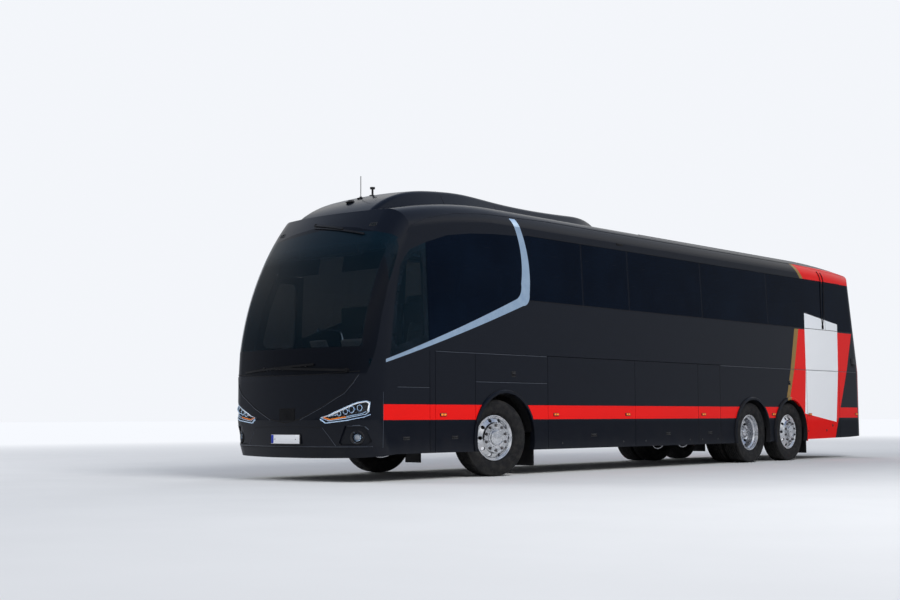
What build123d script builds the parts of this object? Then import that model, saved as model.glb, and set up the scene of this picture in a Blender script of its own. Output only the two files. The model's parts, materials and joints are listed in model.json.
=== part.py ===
from build123d import *
import math
import os

os.makedirs("parts", exist_ok=True)

# Three-axle coach, full size, in millimetres. +X is the coach's left side, its nose
# faces -Y, and the road is at Z = 0. A station is a distance back from the nose.
LENGTH = 14070.0
HALF_WIDTH = 1275.0
ROAD_CLEARANCE = 340.0
WALL = 50.0
GLASS = 10.0
DOOR_GAP = 8.0

# The wipers stand ahead of the nose, so the body sits half of that behind the middle
WIPER_PROUD = 24.0
NOSE = (WIPER_PROUD - LENGTH) / 2
TAIL = (WIPER_PROUD + LENGTH) / 2

FRONT_AXLE = 2740.0
DRIVE_AXLE = 9555.0
TAG_AXLE = 10945.0

# Plan outline of the body: bow radius and corner radius at each end
NOSE_RADIUS = 4000.0
NOSE_CORNER = 400.0
TAIL_RADIUS = 8000.0
TAIL_CORNER = 380.0

SHOULDER = 1634.0
LEAN = 0.0484
ROOF_EDGE_RADIUS = 300.0
CROWN_RISE = 45.0

# The nose stands plumb between two heights, rolls back above them on a large arc and
# tucks in below them
NOSE_PLUMB = (760.0, 1250.0)
NOSE_ARC = 3430.0
NOSE_TUCK = [(230.0, 110.0), (440.0, 40.0), (760.0, 0.0)]
NOSE_END = 1650.0
NOSE_TOP_SLICES = 5
TAIL_SIDE_END = 13400.0
TAIL_RAKE = 230.0
FORM_TOP = 3720.0
FORM_BOTTOM = 230.0

# Roof crown: level between two stations, falling away on long arcs towards the ends
CROWN = 3690.0
CROWN_LEVEL = (2900.0, 11500.0)
CROWN_FRONT_ARC = 9000.0
CROWN_REAR_ARC = 25000.0
CAP_BOTTOM = 2900.0

# Side seams that bound the moving flaps and doors, as stations
FRONT_SEAM = 455.0
FRONT_DOOR = (500.0, 1400.0)
MIDDLE_DOOR = (7790.0, 8475.0)
LEFT_FLAPS = [(3766.0, 5952.0), (5952.0, 7780.0), (7780.0, 8479.0)]
RIGHT_FLAPS = [(3766.0, 5952.0), (5952.0, 7740.0)]
REAR_SEAM = 13660.0

WINDOW_BOTTOM = 2400.0
WINDOW_TOP = 3310.0

# Wheels and tyres
TYRE_RADIUS = 512.0
OUTER_WHEEL_X = 1090.0
INNER_WHEEL_X = 755.0
KINGPIN_X = 930.0
HUB_HEIGHT = TYRE_RADIUS
STEER_AT_REST = 13.0
PIN_RADIUS = 24.0
STUB_RADIUS = 45.0
HAND_HOLES = 10

# Wheel arches: station, height of the centre, radius
ARCHES = [(2810.0, 500.0, 610.0), (9545.0, 505.0, 568.0), (10931.0, 505.0, 577.0)]
FLARE_WIDTH = 45.0
FLARE_PROUD = 30.0

DECK = 1500.0
DRIVER_FLOOR = 960.0

# How far cutting blocks reach across, past either side of the body
BEYOND = 1500.0


def station(distance):
    """Y coordinate of a place measured back from the nose."""
    return NOSE + distance


def side_x(height):
    """Half width of the body at a height: plumb skirt, then a slight lean inwards."""
    return HALF_WIDTH - max(0.0, height - SHOULDER) * LEAN


def nose_setback(height):
    """How far the centre of the nose stands back from its foremost point."""
    rise = max(0.0, height - NOSE_PLUMB[1])
    return NOSE_ARC - math.sqrt(NOSE_ARC**2 - rise**2)


def nose_slice(height, setback, inset):
    """Level outline of the nose, its skin moved inwards by the inset."""
    half = side_x(height) - inset
    front = NOSE + setback + inset
    drop = NOSE_RADIUS - math.sqrt(NOSE_RADIUS**2 - half**2)
    end = station(NOSE_END)
    with BuildSketch(Plane.XY.offset(height)) as outline:
        with BuildLine():
            ThreePointArc((-half, front + drop), (0, front), (half, front + drop))
            Polyline((half, front + drop), (half, end), (-half, end), (-half, front + drop))
        make_face()
        fillet(outline.vertices().group_by(Axis.Y)[0], radius=NOSE_CORNER - inset)
    return outline.sketch


def tail_slice(height, setback, inset):
    """Level outline of the tail, its skin moved inwards by the inset."""
    half = side_x(height) - inset
    back = TAIL - setback - inset
    drop = TAIL_RADIUS - math.sqrt(TAIL_RADIUS**2 - half**2)
    start = station(TAIL_SIDE_END)
    with BuildSketch(Plane.XY.offset(height)) as outline:
        with BuildLine():
            ThreePointArc((-half, back - drop), (0, back), (half, back - drop))
            Polyline((half, back - drop), (half, start), (-half, start), (-half, back - drop))
        make_face()
        fillet(outline.vertices().group_by(Axis.Y)[-1], radius=TAIL_CORNER - inset)
    return outline.sketch


def roof_section(distance, inset):
    """Upright section of the roof: leaning sides, rounded edges and a slight crown."""
    margin = 2.0
    top = CROWN - inset
    edge = top - CROWN_RISE
    half = side_x(edge) + margin - inset
    foot = side_x(CAP_BOTTOM) + margin - inset
    with BuildSketch(Plane.XZ.offset(-station(distance))) as section:
        with BuildLine():
            Polyline((-half, edge), (-foot, CAP_BOTTOM), (foot, CAP_BOTTOM), (half, edge))
            ThreePointArc((half, edge), (0, top), (-half, edge))
        make_face()
        fillet(section.vertices().group_by(Axis.Y)[-1], radius=ROOF_EDGE_RADIUS - inset)
    return section.sketch


def roof_form(inset):
    """All that lies under the roof skin, from ahead of the nose to behind the tail."""
    front, rear = CROWN_LEVEL
    with BuildPart() as form:
        extrude(roof_section(rear, inset), amount=rear - front)
        revolve(
            roof_section(front, inset),
            axis=Axis((0, station(front), CROWN - CROWN_FRONT_ARC), (1, 0, 0)),
            revolution_arc=22,
        )
        revolve(
            roof_section(rear, inset),
            axis=Axis((0, station(rear), CROWN - CROWN_REAR_ARC), (-1, 0, 0)),
            revolution_arc=7,
        )
        with Locations((0, 0, (FORM_BOTTOM + 3000) / 2)):
            Box(2 * HALF_WIDTH + 100, LENGTH + 800, 3000 - FORM_BOTTOM + 200)
    return form.part


def body_form(inset):
    """The whole body as one closed form, its skin moved inwards by the inset."""
    low, high = NOSE_PLUMB
    with BuildPart() as form:
        loft(sections=[nose_slice(height, tuck, inset) for height, tuck in NOSE_TUCK], ruled=True)
        extrude(nose_slice(low, 0, inset), amount=high - low)
        band = [(high, 0), (SHOULDER, nose_setback(SHOULDER))]
        loft(sections=[nose_slice(height, setback, inset) for height, setback in band], ruled=True)
        step = (FORM_TOP - SHOULDER) / (NOSE_TOP_SLICES - 1)
        heights = [SHOULDER + step * row for row in range(NOSE_TOP_SLICES)]
        loft(sections=[nose_slice(height, nose_setback(height), inset) for height in heights])
        with BuildSketch(Plane.XZ.offset(-station(NOSE_END))):
            top = side_x(FORM_TOP) - inset
            low_half = HALF_WIDTH - inset
            with BuildLine():
                Polyline((-low_half, FORM_BOTTOM), (low_half, FORM_BOTTOM), (low_half, SHOULDER))
                Polyline((low_half, SHOULDER), (top, FORM_TOP), (-top, FORM_TOP))
                Polyline((-top, FORM_TOP), (-low_half, SHOULDER), (-low_half, FORM_BOTTOM))
            make_face()
        extrude(amount=-(TAIL_SIDE_END - NOSE_END))
        extrude(tail_slice(FORM_BOTTOM, 0, inset), amount=SHOULDER - FORM_BOTTOM)
        loft(sections=[tail_slice(SHOULDER, 0, inset), tail_slice(FORM_TOP, TAIL_RAKE, inset)], ruled=True)
        add(roof_form(inset), mode=Mode.INTERSECT)
    return form.part


def side_prism(points, near=0.0, far=BEYOND, radius=0.0, grow=0.0):
    """Block across the coach whose side outline is given in stations and heights."""
    with BuildPart() as block:
        with BuildSketch(Plane.YZ.offset(near)) as outline:
            with BuildLine():
                Polyline(*[(station(distance), height) for distance, height in points], close=True)
            make_face()
            if grow:
                offset(amount=grow, kind=Kind.INTERSECTION)
            if radius:
                fillet(outline.vertices(), radius=radius)
        extrude(amount=far - near)
    return block.part


def front_prism(points, near, far, radius=0.0):
    """Block along the coach whose front outline is given in X and height."""
    with BuildPart() as block:
        with BuildSketch(Plane.XZ.offset(-station(near))) as outline:
            with BuildLine():
                Polyline(*points, close=True)
            make_face()
            if radius:
                fillet(outline.vertices(), radius=radius)
        extrude(amount=-(far - near))
    return block.part


def side_box(start, end, low, high, near=0.0, far=BEYOND, radius=0.0):
    """Rectangular block across one side of the coach."""
    points = [(start, low), (end, low), (end, high), (start, high)]
    return side_prism(points, near, far, radius)


def save(part, name):
    """Label a finished piece and write it to its file."""
    part.label = name
    export_step(part, f"parts/{name}.step")


SKIN = body_form(0.0)
UNDER_GLASS = body_form(GLASS)
CABIN = body_form(WALL)

# Skirt line of the body in stations and heights
SKIRT_LINE = [(-300, 100), (-300, 290), (100, 290), (700, ROAD_CLEARANCE), (9000, ROAD_CLEARANCE)]
SKIRT_LINE += [(13300, 388), (14200, 420), (14200, 100)]

with BuildPart() as shell_builder:
    add(SKIN)
    add(CABIN, mode=Mode.SUBTRACT)
    add(side_prism(SKIRT_LINE, -BEYOND, BEYOND), mode=Mode.SUBTRACT)
SHELL = shell_builder.part

# Side edge of the windscreen, from the foot of the pillar to the brow
SCREEN_EDGE = [(335, 1530), (360, 1614), (469, 2036), (600, 2430), (690, 2620), (775, 2810)]
SCREEN_EDGE += [(815, 2930), (805, 3020)]
SCREEN_FRONT = [(-1300, 1320), (1300, 1320), (1300, 2940), (1120, 3080), (600, 3200), (0, 3275)]
SCREEN_FRONT += [(-600, 3200), (-1120, 3080), (-1300, 2940)]

with BuildPart() as screen_block:
    add(front_prism(SCREEN_FRONT, -300, 1300))
    add(
        side_prism(
            [(-300, 1300), (250, 1300)] + SCREEN_EDGE + [(1200, 3200), (1200, 3400), (-300, 3400)],
            -BEYOND,
            BEYOND,
        ),
        mode=Mode.INTERSECT,
    )
SCREEN_ZONE = screen_block.part

# Clear opening through the windscreen frame, inside its blacked-out border
CLEAR_FRONT = [(-1120, 1640), (1120, 1640), (1120, 2900), (1020, 3000), (0, 3190)]
CLEAR_FRONT += [(-1020, 3000), (-1120, 2900)]

with BuildPart() as windscreen:
    add(SKIN)
    add(SCREEN_ZONE, mode=Mode.INTERSECT)
    add(UNDER_GLASS, mode=Mode.SUBTRACT)
save(windscreen.part, "windscreen")

with BuildPart() as windscreen_frame:
    add(UNDER_GLASS)
    add(SCREEN_ZONE, mode=Mode.INTERSECT)
    add(CABIN, mode=Mode.SUBTRACT)
    add(front_prism(CLEAR_FRONT, -300, 1300, radius=60), mode=Mode.SUBTRACT)
save(windscreen_frame.part, "windscreen_frame")

# Nose panels: the V-shaped shield and the bumper that holds the lamps
NOSE_SIDE = [(-300, 100), (FRONT_SEAM, 100), (FRONT_SEAM, 1460), (335, 1530), (250, 1560), (-300, 1560)]
SHIELD_FRONT = [(0, 722), (300, 770), (1000, 1125), (1117, 1320)]
SHIELD_FRONT += [(-1117, 1320), (-1000, 1125), (-300, 770)]
LAMP_FRONT = [(570, 783), (700, 738), (1180, 800), (1290, 850), (1290, 1010), (1090, 985), (700, 815)]
LAMP_DEPTH = 345.0
FOG_PLACE = (1066.0, 549.0)
FOG_RADIUS = 50.0
FOG_DEPTH = 60.0
FOG_FACE = 195.0
POCKET_FRONT = [(950, 690), (1165, 690), (1215, 500), (1170, 455), (830, 455)]
POCKET_DEPTH = 28.0
POCKET_FLOOR = body_form(POCKET_DEPTH)


def mirrored(points):
    """The same outline on the other side of the centreline."""
    return [(-across, height) for across, height in points]


with BuildPart() as nose_block:
    add(SHELL)
    add(side_prism(NOSE_SIDE, -BEYOND, BEYOND), mode=Mode.INTERSECT)
    add(SCREEN_ZONE, mode=Mode.SUBTRACT)
NOSE_SHELL = nose_block.part
SHIELD_ZONE = front_prism(SHIELD_FRONT, -300, 700)

with BuildPart() as front_shield:
    add(NOSE_SHELL)
    add(SHIELD_ZONE, mode=Mode.INTERSECT)
save(front_shield.part, "front_shield")

with BuildPart() as lamp_block:
    add(front_prism(LAMP_FRONT, -300, LAMP_DEPTH))
    add(front_prism(mirrored(LAMP_FRONT), -300, LAMP_DEPTH))
LAMP_ZONE = lamp_block.part

with BuildPart() as head_lamps:
    add(NOSE_SHELL)
    add(LAMP_ZONE, mode=Mode.INTERSECT)
save(head_lamps.part, "head_lamps")

with BuildPart() as pocket_block:
    add(front_prism(POCKET_FRONT, -300, 420, radius=25))
    add(front_prism(mirrored(POCKET_FRONT), -300, 420, radius=25))
    add(POCKET_FLOOR, mode=Mode.SUBTRACT)
POCKETS = pocket_block.part

with BuildPart() as front_bumper:
    add(NOSE_SHELL)
    add(SHIELD_ZONE, mode=Mode.SUBTRACT)
    add(LAMP_ZONE, mode=Mode.SUBTRACT)
    add(POCKETS, mode=Mode.SUBTRACT)
    for side in (-1, 1):
        across, height = FOG_PLACE
        with Locations((side * across, station(-100), height)):
            Cylinder(
                FOG_RADIUS,
                400,
                rotation=(90, 0, 0),
                align=(Align.CENTER, Align.CENTER, Align.MAX),
                mode=Mode.SUBTRACT,
            )
save(front_bumper.part, "front_bumper")

with BuildPart() as fog_lamps:
    for side in (-1, 1):
        across, height = FOG_PLACE
        with Locations((side * across, station(FOG_FACE), height)):
            Cylinder(
                FOG_RADIUS,
                FOG_DEPTH,
                rotation=(90, 0, 0),
                align=(Align.CENTER, Align.CENTER, Align.MAX),
            )
save(fog_lamps.part, "fog_lamps")

# Seam between the walls and the roof, in stations and heights
ROOF_SEAM = [(805, 3020), (1040, 3200), (1350, 3330), (1900, 3450), (2560, 3515), (4000, 3560)]
ROOF_SEAM += [(11500, 3560), (REAR_SEAM, 3495), (14300, 3470)]
ROOF_ZONE = side_prism([(-300, 3020)] + ROOF_SEAM + [(14300, 4200), (-300, 4200)], -BEYOND, BEYOND)

# Marker lamps let into the brow above the windscreen
MARKER_PLACE = (850.0, 720.0, 3222.0)
MARKER_SIZE = (92.0, 300.0, 34.0)

with BuildPart() as marker_block:
    across, distance, height = MARKER_PLACE
    with Locations((across, station(distance), height), (-across, station(distance), height)):
        Box(*MARKER_SIZE)
MARKER_ZONE = marker_block.part

with BuildPart() as marker_lamps:
    add(SHELL)
    add(MARKER_ZONE, mode=Mode.INTERSECT)
save(marker_lamps.part, "marker_lamps")

with BuildPart() as roof:
    add(SHELL)
    add(ROOF_ZONE, mode=Mode.INTERSECT)
    add(SCREEN_ZONE, mode=Mode.SUBTRACT)
    add(MARKER_ZONE, mode=Mode.SUBTRACT)
save(roof.part, "roof")

# Raised fairing on the roof: station, top height, half width at the top
POD_BASE = 800.0
POD_SLICES = [
    (640, 3180, 700),
    (900, 3470, 690),
    (1250, 3660, 660),
    (1700, 3790, 630),
    (2200, 3850, 610),
    (2660, 3875, 600),
    (3400, 3845, 600),
    (5200, 3845, 590),
    (5800, 3800, 560),
    (6350, 3690, 520),
]


def pod_slice(distance, top, half):
    """Upright section of the roof fairing."""
    with BuildSketch(Plane.XZ.offset(-station(distance))) as section:
        with BuildLine():
            Polyline((-half, top), (-POD_BASE, top - 320), (-POD_BASE, 2700))
            Line((-POD_BASE, 2700), (POD_BASE, 2700))
            Polyline((POD_BASE, 2700), (POD_BASE, top - 320), (half, top))
            ThreePointArc((half, top), (0, top + 25), (-half, top))
        make_face()
        fillet(section.vertices().group_by(Axis.Y)[-1], radius=90)
    return section.sketch


with BuildPart() as pod_block:
    loft(sections=[pod_slice(*row) for row in POD_SLICES])
    add(SKIN, mode=Mode.SUBTRACT)

with BuildPart() as roof_pod:
    add(pod_block.solids().sort_by(SortBy.VOLUME)[-1])
save(roof_pod.part, "roof_pod")

# Antennas on the fairing: station, radius, foot and top of each turned piece
ANTENNAS = [
    (1158.0, 40.0, 3560.0, 3668.0),
    (1342.0, 18.0, 3600.0, 3742.0),
    (1342.0, 5.0, 3742.0, 4020.0),
    (1566.0, 14.0, 3600.0, 3872.0),
    (1566.0, 34.0, 3872.0, 3898.0),
]

with BuildPart() as antennas:
    for distance, radius, foot, top in ANTENNAS:
        with Locations((0, station(distance), foot)):
            Cylinder(radius, top - foot, align=(Align.CENTER, Align.CENTER, Align.MIN))
    add(roof_pod.part, mode=Mode.SUBTRACT)
save(antennas.part, "antennas")

# Bright trim that sweeps up each side, drawn from its tip at the nose
def trim_zone():
    """Block in the side outline of the bright trim."""
    with BuildPart() as block:
        with BuildSketch(Plane.YZ):
            with BuildLine():
                front_curve = ThreePointArc(
                    (station(505), 1500), (station(1700), 1883), (station(3110), 2392)
                )
                elbow = ThreePointArc(front_curve @ 1, (station(3215), 2475), (station(3245), 2620))
                upright = ThreePointArc(elbow @ 1, (station(3262), 3060), (station(3075), 3520))
                top = Line(upright @ 1, (station(3205), 3520))
                back = ThreePointArc(top @ 1, (station(3425), 2960), (station(3420), 2480))
                heel = ThreePointArc(back @ 1, (station(3385), 2370), (station(3270), 2315))
                low_curve = ThreePointArc(heel @ 1, (station(1900), 1868), (station(505), 1460))
                Line(low_curve @ 1, front_curve @ 0)
            make_face()
        extrude(amount=1500, both=True)
    return block.part


TRIM_ZONE = trim_zone()

with BuildPart() as trim_seat:
    add(TRIM_ZONE)
    add(UNDER_GLASS, mode=Mode.SUBTRACT)
TRIM_SEAT = trim_seat.part

with BuildPart() as side_trims:
    add(SKIN)
    add(TRIM_SEAT, mode=Mode.INTERSECT)
    add(side_box(400, FRONT_DOOR[1] + DOOR_GAP / 2, 1300, 2000, -BEYOND, 0), mode=Mode.SUBTRACT)
save(side_trims.part, "side_trims")

# Side glazing in stations and heights
FRONT_GLASS = [(575, 1530), (700, 2263), (805, 2668), (900, 2800), (1002, 2900), (1323, 3026)]
FRONT_GLASS += [(1729, 3151), (2189, 3219), (2671, 3259), (3300, 3290), (3300, 2420), (600, 1520)]
PANE_EDGES = [3425, 4680, 5880, 8015, 10240, 12450, REAR_SEAM]
PANE_GAP = 8.0
FRAME_LIP = 45.0
DRIVER_PILLAR = 1300.0
FRONT_DOOR_SIDE = [
    (FRONT_DOOR[0], 370), (FRONT_DOOR[1], 370), (FRONT_DOOR[1], 2740), (900, 2740), (690, 2260), (512, 1560),
]
MIDDLE_DOOR_SIDE = [
    (MIDDLE_DOOR[0], 370), (MIDDLE_DOOR[1], 370), (MIDDLE_DOOR[1], 2340), (MIDDLE_DOOR[0], 2340),
]
FRONT_DOOR_GLASS = [(640, 1700), (1320, 1700), (1320, 2660), (940, 2660), (775, 2260)]
FRONT_DOOR_LIGHT = [(690, 740), (1320, 740), (1320, 1560), (690, 1560)]


def pane(index):
    """Side outline of one fixed pane behind the bright trim."""
    start = PANE_EDGES[index] + PANE_GAP / 2
    end = PANE_EDGES[index + 1] - PANE_GAP / 2
    return [(start, WINDOW_BOTTOM), (end, WINDOW_BOTTOM), (end, WINDOW_TOP), (start, WINDOW_TOP)]


with BuildPart() as glass_block:
    for index in range(len(PANE_EDGES) - 1):
        add(side_prism(pane(index), -BEYOND, BEYOND))
    add(side_prism(FRONT_GLASS, -BEYOND, BEYOND))
    add(side_prism(pane(0)[:1] + [(3300, 2410), (3300, 3290)] + pane(0)[-1:], -BEYOND, BEYOND))
    add(TRIM_ZONE, mode=Mode.SUBTRACT)
    add(UNDER_GLASS, mode=Mode.SUBTRACT)
GLASS_SEATS = glass_block.part

with BuildPart() as glazing_block:
    add(SKIN)
    add(GLASS_SEATS, mode=Mode.INTERSECT)
GLAZING = glazing_block.part

DRIVER_GLASS_ZONE = side_box(400, DRIVER_PILLAR, 1500, 3200)
FRONT_DOOR_CUT = side_prism(FRONT_DOOR_SIDE, -BEYOND, 0, grow=DOOR_GAP / 2)
FRONT_DOOR_BODY = side_prism(FRONT_DOOR_SIDE, -BEYOND, 0, grow=-DOOR_GAP / 2)
MIDDLE_DOOR_CUT = side_prism(MIDDLE_DOOR_SIDE, -BEYOND, 0, grow=DOOR_GAP / 2)
MIDDLE_DOOR_BODY = side_prism(MIDDLE_DOOR_SIDE, -BEYOND, 0, grow=-DOOR_GAP / 2)

with BuildPart() as driver_window:
    add(GLAZING)
    add(DRIVER_GLASS_ZONE, mode=Mode.INTERSECT)
save(driver_window.part, "driver_window")

with BuildPart() as side_windows:
    add(GLAZING)
    add(side_box(400, DRIVER_PILLAR + PANE_GAP, 1500, 3300), mode=Mode.SUBTRACT)
    add(FRONT_DOOR_CUT, mode=Mode.SUBTRACT)
save(side_windows.part, "side_windows")


def door_glass(zone, points, radius=50.0):
    """Glass of a door, flush with its skin."""
    with BuildPart() as seat:
        add(side_prism(points, -BEYOND, 0, radius=radius))
        add(UNDER_GLASS, mode=Mode.SUBTRACT)
        add(zone, mode=Mode.INTERSECT)
    return seat.part


def leaf_brackets(distance):
    """Pairs of lugs with a pin between them, inside a leaf, for the ends of its two arms."""
    lug_low = ARM_THICK / 2 + 2
    lug_high = lug_low + 12
    with BuildPart() as brackets:
        for height in ARM_HEIGHTS:
            for low in (height + lug_low, height - lug_high):
                add(side_box(distance - 24, distance + 24, low, low + 12, 30 - HALF_WIDTH, 24 - POST_X))
            with BuildSketch(Plane.XY.offset(height - lug_high)):
                with Locations((-POST_X, station(distance))):
                    Circle(ARM_PIN)
            extrude(amount=2 * lug_high)
    return brackets.part


def door_leaf(zone, lights, arm_end):
    """Whole thickness of the wall inside a door's outline, with its glass cut out."""
    with BuildPart() as leaf:
        add(SHELL)
        add(zone, mode=Mode.INTERSECT)
        for points in lights:
            add(door_glass(zone, points), mode=Mode.SUBTRACT)
            add(side_prism(points, -BEYOND, 0, radius=80, grow=-30), mode=Mode.SUBTRACT)
        add(leaf_brackets(arm_end))
    return leaf.part


def door_panes(zone, lights):
    """Every pane of a door as one piece of loose solids."""
    with BuildPart() as panes:
        for points in lights:
            add(door_glass(zone, points))
        add(SKIN, mode=Mode.INTERSECT)
    return panes.part


FRONT_LIGHTS = [FRONT_DOOR_GLASS, FRONT_DOOR_LIGHT]
MIDDLE_LIGHTS = [[(7880, 1300), (8385, 1300), (8385, 2240), (7880, 2240)]]

# Each leaf glides outwards on two level arms that turn on an upright post inside the doorway:
# station of the post, reach of the arms along the coach, foot and head of the post
POST_X = 1120.0
POST_RADIUS = 24.0
ARM_THICK = 40.0
ARM_PIN = 12.0
ARM_HEIGHTS = (720.0, 1400.0)
FRONT_ARM = (600.0, 755.0, 420.0, 1500.0)
MIDDLE_ARM = (8410.0, -560.0, 400.0, 1440.0)

save(door_leaf(FRONT_DOOR_BODY, FRONT_LIGHTS, FRONT_ARM[0] + FRONT_ARM[1]), "front_door")
save(door_panes(FRONT_DOOR_BODY, FRONT_LIGHTS), "front_door_glass")
save(door_leaf(MIDDLE_DOOR_BODY, MIDDLE_LIGHTS, MIDDLE_ARM[0] + MIDDLE_ARM[1]), "middle_door")
save(door_panes(MIDDLE_DOOR_BODY, MIDDLE_LIGHTS), "middle_door_glass")

# Side walls: outline between nose, windscreen, roof seam and tail
WALL_SIDE = [(FRONT_SEAM, 100), (FRONT_SEAM, 1460)] + SCREEN_EDGE + ROOF_SEAM[1:-1]
WALL_SIDE += [(REAR_SEAM, 100)]
FLAP_TOP = SHOULDER - 2.0

# Openings of the wall behind the glass beside the driver and behind the glass that follows
DRIVER_LIGHT = [(660, 1640), (1240, 1830), (1240, 2930), (1040, 2840), (880, 2640), (765, 2260)]
FRONT_LIGHT = [(1370, 1870), (3170, 2500), (3190, 3220), (2300, 3160), (1370, 2960)]
LIGHT_CORNER = 60.0
PANE_CORNER = 70.0

# Seams between the fixed side panels, cut as shallow grooves: ends as stations and heights
GROOVE_WIDE = 8.0
GROOVE_DEEP = 6.0
UPRIGHT_SEAMS = [
    (1305, 300, SHOULDER), (1407, 300, SHOULDER), (2194, 300, SHOULDER), (8479, 300, SHOULDER),
    (11580, 300, SHOULDER), (12903, 300, SHOULDER),
]
LEVEL_SEAMS = [(1171, 700, 1305), (1260, 2194, 3766), (SHOULDER, 1407, REAR_SEAM)]


def grooves(side):
    """Shallow slots along the fixed seams of one side."""
    near, far = sorted((side * (HALF_WIDTH - GROOVE_DEEP), side * (HALF_WIDTH + 60)))
    half = GROOVE_WIDE / 2
    with BuildPart() as slots:
        for distance, low, high in UPRIGHT_SEAMS:
            add(side_box(distance - half, distance + half, low, high, near, far))
        for height, start, end in LEVEL_SEAMS:
            add(side_box(start, end, height - half, height + half, near, far))
    return slots.part


def flap_box(start, end, near, far, gap):
    """Block round one luggage flap."""
    return side_box(start + gap, end - gap, 300, FLAP_TOP - gap + DOOR_GAP / 2, near, far)


def arch_cut(radius_grow, near, far):
    """Discs through one side at every wheel arch."""
    with BuildPart() as discs:
        with BuildSketch(Plane.YZ.offset(near)):
            for distance, height, radius in ARCHES:
                with Locations((station(distance), height)):
                    Circle(radius + radius_grow)
        extrude(amount=far - near)
    return discs.part


def flares(side):
    """Raised lips round the wheel arches of one side."""
    with BuildPart() as lips:
        with BuildSketch(Plane.YZ.offset(side * (HALF_WIDTH - WALL))):
            for distance, height, radius in ARCHES:
                with Locations((station(distance), height)):
                    Circle(radius + FLARE_WIDTH)
        extrude(amount=side * (WALL + FLARE_PROUD))
        outer = lips.faces().sort_by(Axis.X)[-3:] if side > 0 else lips.faces().sort_by(Axis.X)[:3]
        chamfer(outer.edges(), length=14)
        low, high = sorted((side * 1000, side * BEYOND))
        add(arch_cut(0, low, high), mode=Mode.SUBTRACT)
        add(side_box(1500, 13000, -300, ROAD_CLEARANCE, low, high), mode=Mode.SUBTRACT)
    return lips.part


def side_wall(side, flaps, doors):
    """Wall of one side with its flaps, doors, windows and arches cut out."""
    low, high = sorted((0, side * BEYOND))
    with BuildPart() as wall:
        add(SHELL)
        add(side_prism(WALL_SIDE, low, high), mode=Mode.INTERSECT)
        add(SCREEN_ZONE, mode=Mode.SUBTRACT)
        for glass_seat in GLASS_SEATS.solids():
            if side * glass_seat.center().X > 0:
                add(glass_seat, mode=Mode.SUBTRACT)
        for start, end in flaps:
            add(flap_box(start, end, low, high, -DOOR_GAP / 2), mode=Mode.SUBTRACT)
        add(arch_cut(0, low, high), mode=Mode.SUBTRACT)
        add(flares(side))
        add(TRIM_SEAT, mode=Mode.SUBTRACT)
        for index in range(len(PANE_EDGES) - 1):
            add(side_prism(pane(index), low, high, PANE_CORNER, -FRAME_LIP), mode=Mode.SUBTRACT)
        for light in (DRIVER_LIGHT, FRONT_LIGHT):
            add(side_prism(light, low, high, LIGHT_CORNER), mode=Mode.SUBTRACT)
        add(grooves(side), mode=Mode.SUBTRACT)
        for door in doors:
            add(door, mode=Mode.SUBTRACT)
    return wall.part


save(side_wall(1, LEFT_FLAPS, []), "side_wall_left")
save(side_wall(-1, RIGHT_FLAPS, [FRONT_DOOR_CUT, MIDDLE_DOOR_CUT]), "side_wall_right")

for side, word, flaps in ((1, "left", LEFT_FLAPS), (-1, "right", RIGHT_FLAPS)):
    low, high = sorted((0, side * BEYOND))
    for number, (start, end) in enumerate(flaps, 1):
        with BuildPart() as luggage_flap:
            add(SHELL)
            add(flap_box(start, end, low, high, DOOR_GAP / 2), mode=Mode.INTERSECT)
        save(luggage_flap.part, f"luggage_flap_{word}_{number}")

# Tail: wall, window, engine hatch, bumper and lamps
TAIL_SIDE = [(REAR_SEAM, 100), (14300, 100)] + ROOF_SEAM[:-3:-1]
TAIL_START = 13700.0
TAIL_END = 14300.0
REAR_GLASS = [(-1010, 2440), (1010, 2440), (960, 3170), (-960, 3170)]
REAR_LIGHT = [(-930, 2520), (930, 2520), (890, 3090), (-890, 3090)]
HATCH_HALF = 860.0
HATCH_LOW = 780.0
HATCH_TOP = 2120.0
BUMPER_TOP = 760.0
TAIL_LAMP = [(1010, 950), (1300, 950), (1300, 1780), (1120, 1780)]
LOUVRE_COUNT = 7
LOUVRE_PITCH = 62.0
LOUVRE_HIGH = 24.0
LOUVRE_WIDE = 1180.0
LOUVRE_LOW = 960.0


def hatch_prism(gap):
    """Block in the outline of the engine hatch."""
    points = [
        (-HATCH_HALF + gap, HATCH_LOW + gap),
        (HATCH_HALF - gap, HATCH_LOW + gap),
        (HATCH_HALF - gap, HATCH_TOP - gap),
        (-HATCH_HALF + gap, HATCH_TOP - gap),
    ]
    return front_prism(points, TAIL_START, TAIL_END)


with BuildPart() as tail_block:
    add(SHELL)
    add(side_prism(TAIL_SIDE, -BEYOND, BEYOND), mode=Mode.INTERSECT)
TAIL_SHELL = tail_block.part

with BuildPart() as rear_glass_seat:
    add(front_prism(REAR_GLASS, TAIL_START, TAIL_END, radius=80))
    add(UNDER_GLASS, mode=Mode.SUBTRACT)
REAR_GLASS_SEAT = rear_glass_seat.part

with BuildPart() as rear_window:
    add(SKIN)
    add(REAR_GLASS_SEAT, mode=Mode.INTERSECT)
save(rear_window.part, "rear_window")

with BuildPart() as tail_lamp_block:
    add(front_prism(TAIL_LAMP, TAIL_START, TAIL_END))
    add(front_prism(mirrored(TAIL_LAMP), TAIL_START, TAIL_END))
TAIL_LAMP_ZONE = tail_lamp_block.part

with BuildPart() as tail_lamps:
    add(TAIL_SHELL)
    add(TAIL_LAMP_ZONE, mode=Mode.INTERSECT)
save(tail_lamps.part, "tail_lamps")

BUMPER_ZONE = side_box(REAR_SEAM - 10, TAIL_END, 100, BUMPER_TOP, -BEYOND, BEYOND)

with BuildPart() as rear_bumper:
    add(TAIL_SHELL)
    add(BUMPER_ZONE, mode=Mode.INTERSECT)
save(rear_bumper.part, "rear_bumper")

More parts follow.
